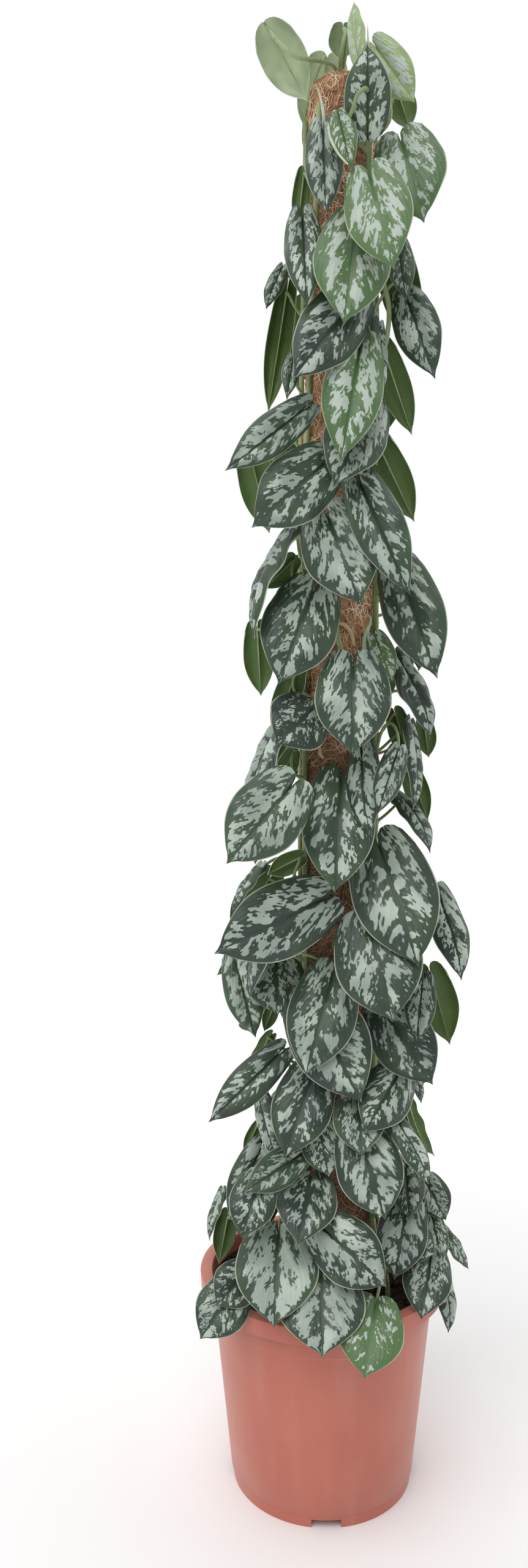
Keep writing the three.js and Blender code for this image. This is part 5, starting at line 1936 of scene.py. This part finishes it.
@dataclass
class PottingSoil:
    """The soil: a crumbly surface that fills the pot, with loose crumbs on it."""

    bench: Bench
    finish: SoilFinish = field(default_factory=SoilFinish)
    crumbs: int = 900

    def build(self, effects: Effects) -> None:
        """Makes the soil and its crumbs."""
        floor = POT.floor_top + STEM.gap
        edge = POT.radius(SOIL.top) - POT.wall - 0.6
        rings = [(0.0, floor), (POT.radius(30) - 11, floor), (POT.radius(23) - 4, floor + 8)]
        rings += [(edge - 2.4, 190.0), (edge, SOIL.top - 3)]
        rings += [(edge * share, SOIL.top + SOIL.mound * (1 - share)) for share in np.linspace(1, 0.02, 44)]
        rings += [(0.0, SOIL.top + SOIL.mound)]
        soil = self.bench.turned("soil_fill", rings, 120)
        rows = self.bench.measured(soil)
        random = np.random.default_rng(11)
        waves = random.uniform(0, 2 * math.pi, (9, 3))
        lift = sum(np.sin(rows[:, 0] * 0.05 * (k + 1) + waves[k, 0])
                   * np.sin(rows[:, 1] * 0.055 * (k + 1) + waves[k, 1])
                   / (k + 1) for k in range(9))
        top = (rows[:, 2] > SOIL.top - 1) & (np.hypot(rows[:, 0], rows[:, 1]) < edge - 2)
        rows[:, 2] += np.where(top, 1.6 * lift + random.normal(0, 0.5, len(rows)), 0)
        self.bench.lay(soil, rows)
        material = self.finish.material(effects)
        self.bench.dress(soil, material)
        self.bench.soften(soil, 60.0)
        self.bench.hand_over(soil, "potting_soil", "soil")
        self.scatter(material, edge)

    def scatter(self, material: Material, edge: float) -> None:
        """Lays loose crumbs and chips of bark on the soil.

        Args:
            material: the soil's material.
            edge: the soil's radius at its top.
        """
        random = np.random.default_rng(12)
        self.bench.clear_selection()
        bpy.ops.mesh.primitive_ico_sphere_add(subdivisions=1, radius=1.0)
        pattern = bpy.context.object
        form = self.bench.corners(pattern)
        loose = []
        for _ in range(self.crumbs):
            reach = edge * 0.96 * math.sqrt(random.uniform(0.02, 1))
            turn = random.uniform(0, 2 * math.pi)
            x, y = reach * math.cos(turn), reach * math.sin(turn)
            if math.hypot(x - POLE.x, y) < POLE.thick + 3:
                continue
            size = random.uniform(0.7, 2.6)
            crumb = self.bench.twin(pattern)
            rough = form * random.uniform(0.6, 1.3, form.shape)
            rough *= (size * random.uniform(0.8, 1.9), size, size * 0.7)
            turned = spun(rough, random.uniform(0, math.pi))
            centre = vector(x, y, SOIL.top + SOIL.mound * (1 - reach / edge) + size * 0.35)
            self.bench.lay(crumb, turned + centre)
            loose.append(crumb)
        bpy.data.objects.remove(pattern)
        crumbs = self.bench.joined("soil_crumbs", loose)
        self.bench.dress(crumbs, material)
        self.bench.hand_over(crumbs, "potting_soil")


@dataclass(frozen=True)
class Binding:
    """A cord wound aslant round the sleeve: its place in front in pixels, and its sizes in millimetres."""

    x: float
    y: float
    climb: float
    radius: float


@dataclass
class CoirPole:
    """The climbing pole: a wooden core, a felted sleeve, fibres that spring from it and cords round its top."""

    bench: Bench
    eye: Eye
    fibres: int = 3250
    steps: int = 7
    felt: FibreFinish = FibreFinish(
        "coir_felt", (0.15, 0.062, 0.027), (0.58, 0.31, 0.16), (0.88, 0.60, 0.38))
    thread: FibreFinish = FibreFinish(
        "coir_fibre", (0.52, 0.27, 0.14), (0.86, 0.57, 0.36), (0.97, 0.80, 0.60), matted=False)
    cord: FibreFinish = FibreFinish(
        "binding_cord", (0.13, 0.065, 0.035), (0.30, 0.17, 0.10), (0.55, 0.36, 0.24), matted=False)
    bindings: tuple[Binding, ...] = (
        Binding(546, 171, 8, 0.55), Binding(546, 177, 9, 0.7), Binding(546, 180, 11, 0.5))
    wood: WoodFinish = field(default_factory=WoodFinish)

    def build(self, effects: Effects) -> None:
        """Makes the sleeve in its solid's place, the fibres on it, and the look of the core inside."""
        self.sleeve(effects)
        thread = self.thread.material(effects)
        middle = (SOIL.top + POLE.top) / 2
        self.loose_fibres("coir_fibres_low", SOIL.top, middle, thread, 22)
        self.loose_fibres("coir_fibres_high", middle, POLE.top, thread, 23)
        cords = self.bench.tubes("coir_binding", [self.cord_line(binding) for binding in self.bindings], 1)
        self.bench.dress(cords, self.cord.material(effects))
        self.bench.hand_over(cords, "coir")
        core = bpy.data.objects["pole_core"]
        wood = self.wood.material(effects)
        for place in core.material_slots:
            place.material = wood

    def sleeve(self, effects: Effects) -> None:
        """Makes the felted sleeve, lumpy all over."""
        floor = POT.floor_top + STEM.gap
        heights = np.concatenate(([floor, 120.0], np.arange(205.0, POLE.top - 14, 5.0)))
        rings = [(0.0, floor)] + [(POLE.radius(z), float(z)) for z in heights]
        for share in np.linspace(0, 1, 9)[1:]:
            turn = share * math.pi / 2
            rings.append((POLE.thick_top * (0.62 + 0.38 * math.cos(turn)), POLE.top - 14 + 13 * math.sin(turn)))
        rings += [(POLE.thick_top * 0.62 * share, POLE.top - 0.6) for share in (0.7, 0.4, 0.0)]
        sleeve = self.bench.turned("coir_wrap", rings, 84, POLE.x)
        rows = self.bench.measured(sleeve)
        random = np.random.default_rng(21)
        out = rows - vector(POLE.x, 0, 0)
        out[:, 2] = 0
        reach = np.maximum(np.linalg.norm(out, axis=1), 1e-6)
        turn = np.arctan2(out[:, 1], out[:, 0])
        lumps = (np.sin(turn * 5 + rows[:, 2] * 0.06) + np.sin(turn * 8 - rows[:, 2] * 0.11 + 1.3)
                 + np.sin(turn * 13 + rows[:, 2] * 0.19 + 2.1)) * 0.28
        push = lumps + random.normal(0, 0.22, len(rows)) - 0.9
        rows += out / reach[:, None] * np.where(reach > 12, push, 0)[:, None]
        self.bench.lay(sleeve, rows)
        self.bench.dress(sleeve, self.felt.material(effects))
        self.bench.soften(sleeve, 60.0)
        self.bench.hand_over(sleeve, "coir", "coir_sleeve")

    def loose_fibres(self, name: str, low: float, high: float, material: Material, seed: int) -> None:
        """Lays curly fibres on the sleeve in all directions, some of them springing off it.

        Args:
            name: the piece's name.
            low: lowest height at which a fibre starts, in millimetres.
            high: highest height.
            material: the fibres' material.
            seed: the start of its random draws.
        """
        random = np.random.default_rng(seed)
        lines = []
        along = np.linspace(0, 1, self.steps)
        for _ in range(self.fibres):
            length = random.uniform(14, 46)
            curl = random.normal(0, 0.42) + np.linspace(-1, 1, self.steps) * random.normal(0, 0.35)
            heading = random.uniform(0, 2 * math.pi) + np.cumsum(curl)
            heights = random.uniform(low, high - 3) + np.cumsum(np.cos(heading)) * length / self.steps
            heights = np.clip(heights, SOIL.top + 1, POLE.top - 1.5)
            round_it = np.cumsum(np.sin(heading)) * length / self.steps / POLE.thick
            turns = random.uniform(0, 2 * math.pi) + round_it
            spring = abs(random.normal(0, 1.0)) * (3.5 if random.uniform() < 0.16 else 1.0)
            radii = np.array([POLE.radius(h) for h in heights]) - 0.4 + spring * (2 * along - 1) ** 2
            radii = np.where(heights > POLE.top - 12, radii - (heights - POLE.top + 12) * 0.8, radii)
            points = ringed(POLE.x, radii, turns, heights)
            lines.append((points, random.uniform(0.28, 0.52) * (1 - 0.5 * (2 * along - 1) ** 4)))
        fibres = self.bench.tubes(name, lines, 0)
        self.bench.dress(fibres, material)
        self.bench.soften(fibres, 180.0)
        self.bench.hand_over(fibres, "coir")

    def cord_line(self, binding: Binding) -> Strand:
        """A cord's points and radii, from the back of the sleeve round its front and back again."""
        turns = np.linspace(-math.pi, math.pi, 40)
        front = self.eye.at(binding.x, binding.y, -POLE.thick_top)[2]
        heights = front + binding.climb * turns + 0.5 * np.sin(turns * 7 + binding.y)
        radii = np.array([POLE.radius(h) for h in heights]) + 0.6
        return ringed(POLE.x, radii, turns, heights), np.full(len(turns), binding.radius)


@dataclass
class Studio:
    """A plain pale floor, soft light all round and the camera at the photograph's place."""

    bench: Bench
    floor_size: float = 40.0
    floor_colour: Colour = (0.94, 0.94, 0.94)
    floor_dull: Colour = (0.86, 0.86, 0.86)
    front_light: float = 0.4
    back_light: float = 1.0
    light_power: float = 1.5
    light_spread: float = 50.0
    light_height: float = 55.0
    light_left: float = 25.0

    def camera(self) -> None:
        """Sets the camera at the eye, with the photograph's frame."""
        data = bpy.data.cameras.new("camera")
        data.sensor_width = 36.0
        data.lens = data.sensor_width * PICTURE.focal / PICTURE.height
        camera = bpy.data.objects.new("camera", data)
        camera.location = self.bench.place(vector(PICTURE.eye_x, -PICTURE.distance, PICTURE.eye_height))
        camera.rotation_euler = (math.pi / 2 - PICTURE.tilt, 0, 0)
        bpy.context.collection.objects.link(camera)
        bpy.context.scene.camera = camera

    def sun(self) -> None:
        """Adds the one large soft light, from above on the camera's left."""
        data = bpy.data.lights.new("soft_light", "SUN")
        data.energy = self.light_power
        data.angle = math.radians(self.light_spread)
        light = bpy.data.objects.new("soft_light", data)
        light.rotation_euler = (math.radians(90 - self.light_height), 0, math.radians(-self.light_left))
        bpy.context.collection.objects.link(light)

    def surround(self) -> None:
        """White walls of light all round, weaker on the side that the camera stands on."""
        world = bpy.data.worlds.new("studio")
        world.use_nodes = True
        nodes = Nodes(world.node_tree)
        way = nodes.add("ShaderNodeTexCoord").outputs["Generated"]
        parts = nodes.add("ShaderNodeSeparateXYZ", {0: way}).outputs
        light = nodes.ramp(parts["Y"], -0.7, 0.5, self.front_light, self.back_light)
        seen = nodes.add("ShaderNodeLightPath").outputs["Is Camera Ray"]
        background = world.node_tree.nodes["Background"]
        background.inputs["Color"].default_value = (1.0, 1.0, 1.0, 1.0)
        nodes.feed(background, Strength=nodes.math("MAXIMUM", light, seen))
        bpy.context.scene.world = world

    def build(self) -> None:
        """Makes the floor, the light and the camera."""
        self.bench.clear_selection()
        bpy.ops.mesh.primitive_plane_add(size=self.floor_size)
        floor = bpy.context.object
        floor.name = "floor"
        material, nodes, shader = new_material("floor_paint", self.floor_colour, Roughness=0.9)
        shade = nodes.noise(nodes.object_place(), 2.0)
        dull = nodes.ramp(shade, 0.3, 0.7, 0.0, 0.1)
        nodes.feed(shader, Base_Color=nodes.mix(dull, self.floor_colour, self.floor_dull))
        self.bench.dress(floor, material)
        self.surround()
        bpy.context.scene.view_settings.view_transform = "Standard"
        self.sun()
        self.camera()


def main() -> None:
    """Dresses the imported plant."""
    logging.basicConfig(level=logging.INFO, format="%(name)s: %(message)s")
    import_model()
    bench = Bench()
    Studio(bench).build()
    effects = Effects()
    growth = Growth()
    growth.grow()
    LOG.info("leaves: %d", len(growth.leaves))
    NurseryPot(bench).build(effects)
    PottingSoil(bench).build(effects)
    CoirPole(bench, growth.eye).build(effects)
    Foliage(bench, growth, effects).build()


if __name__ == "__main__":
    main()
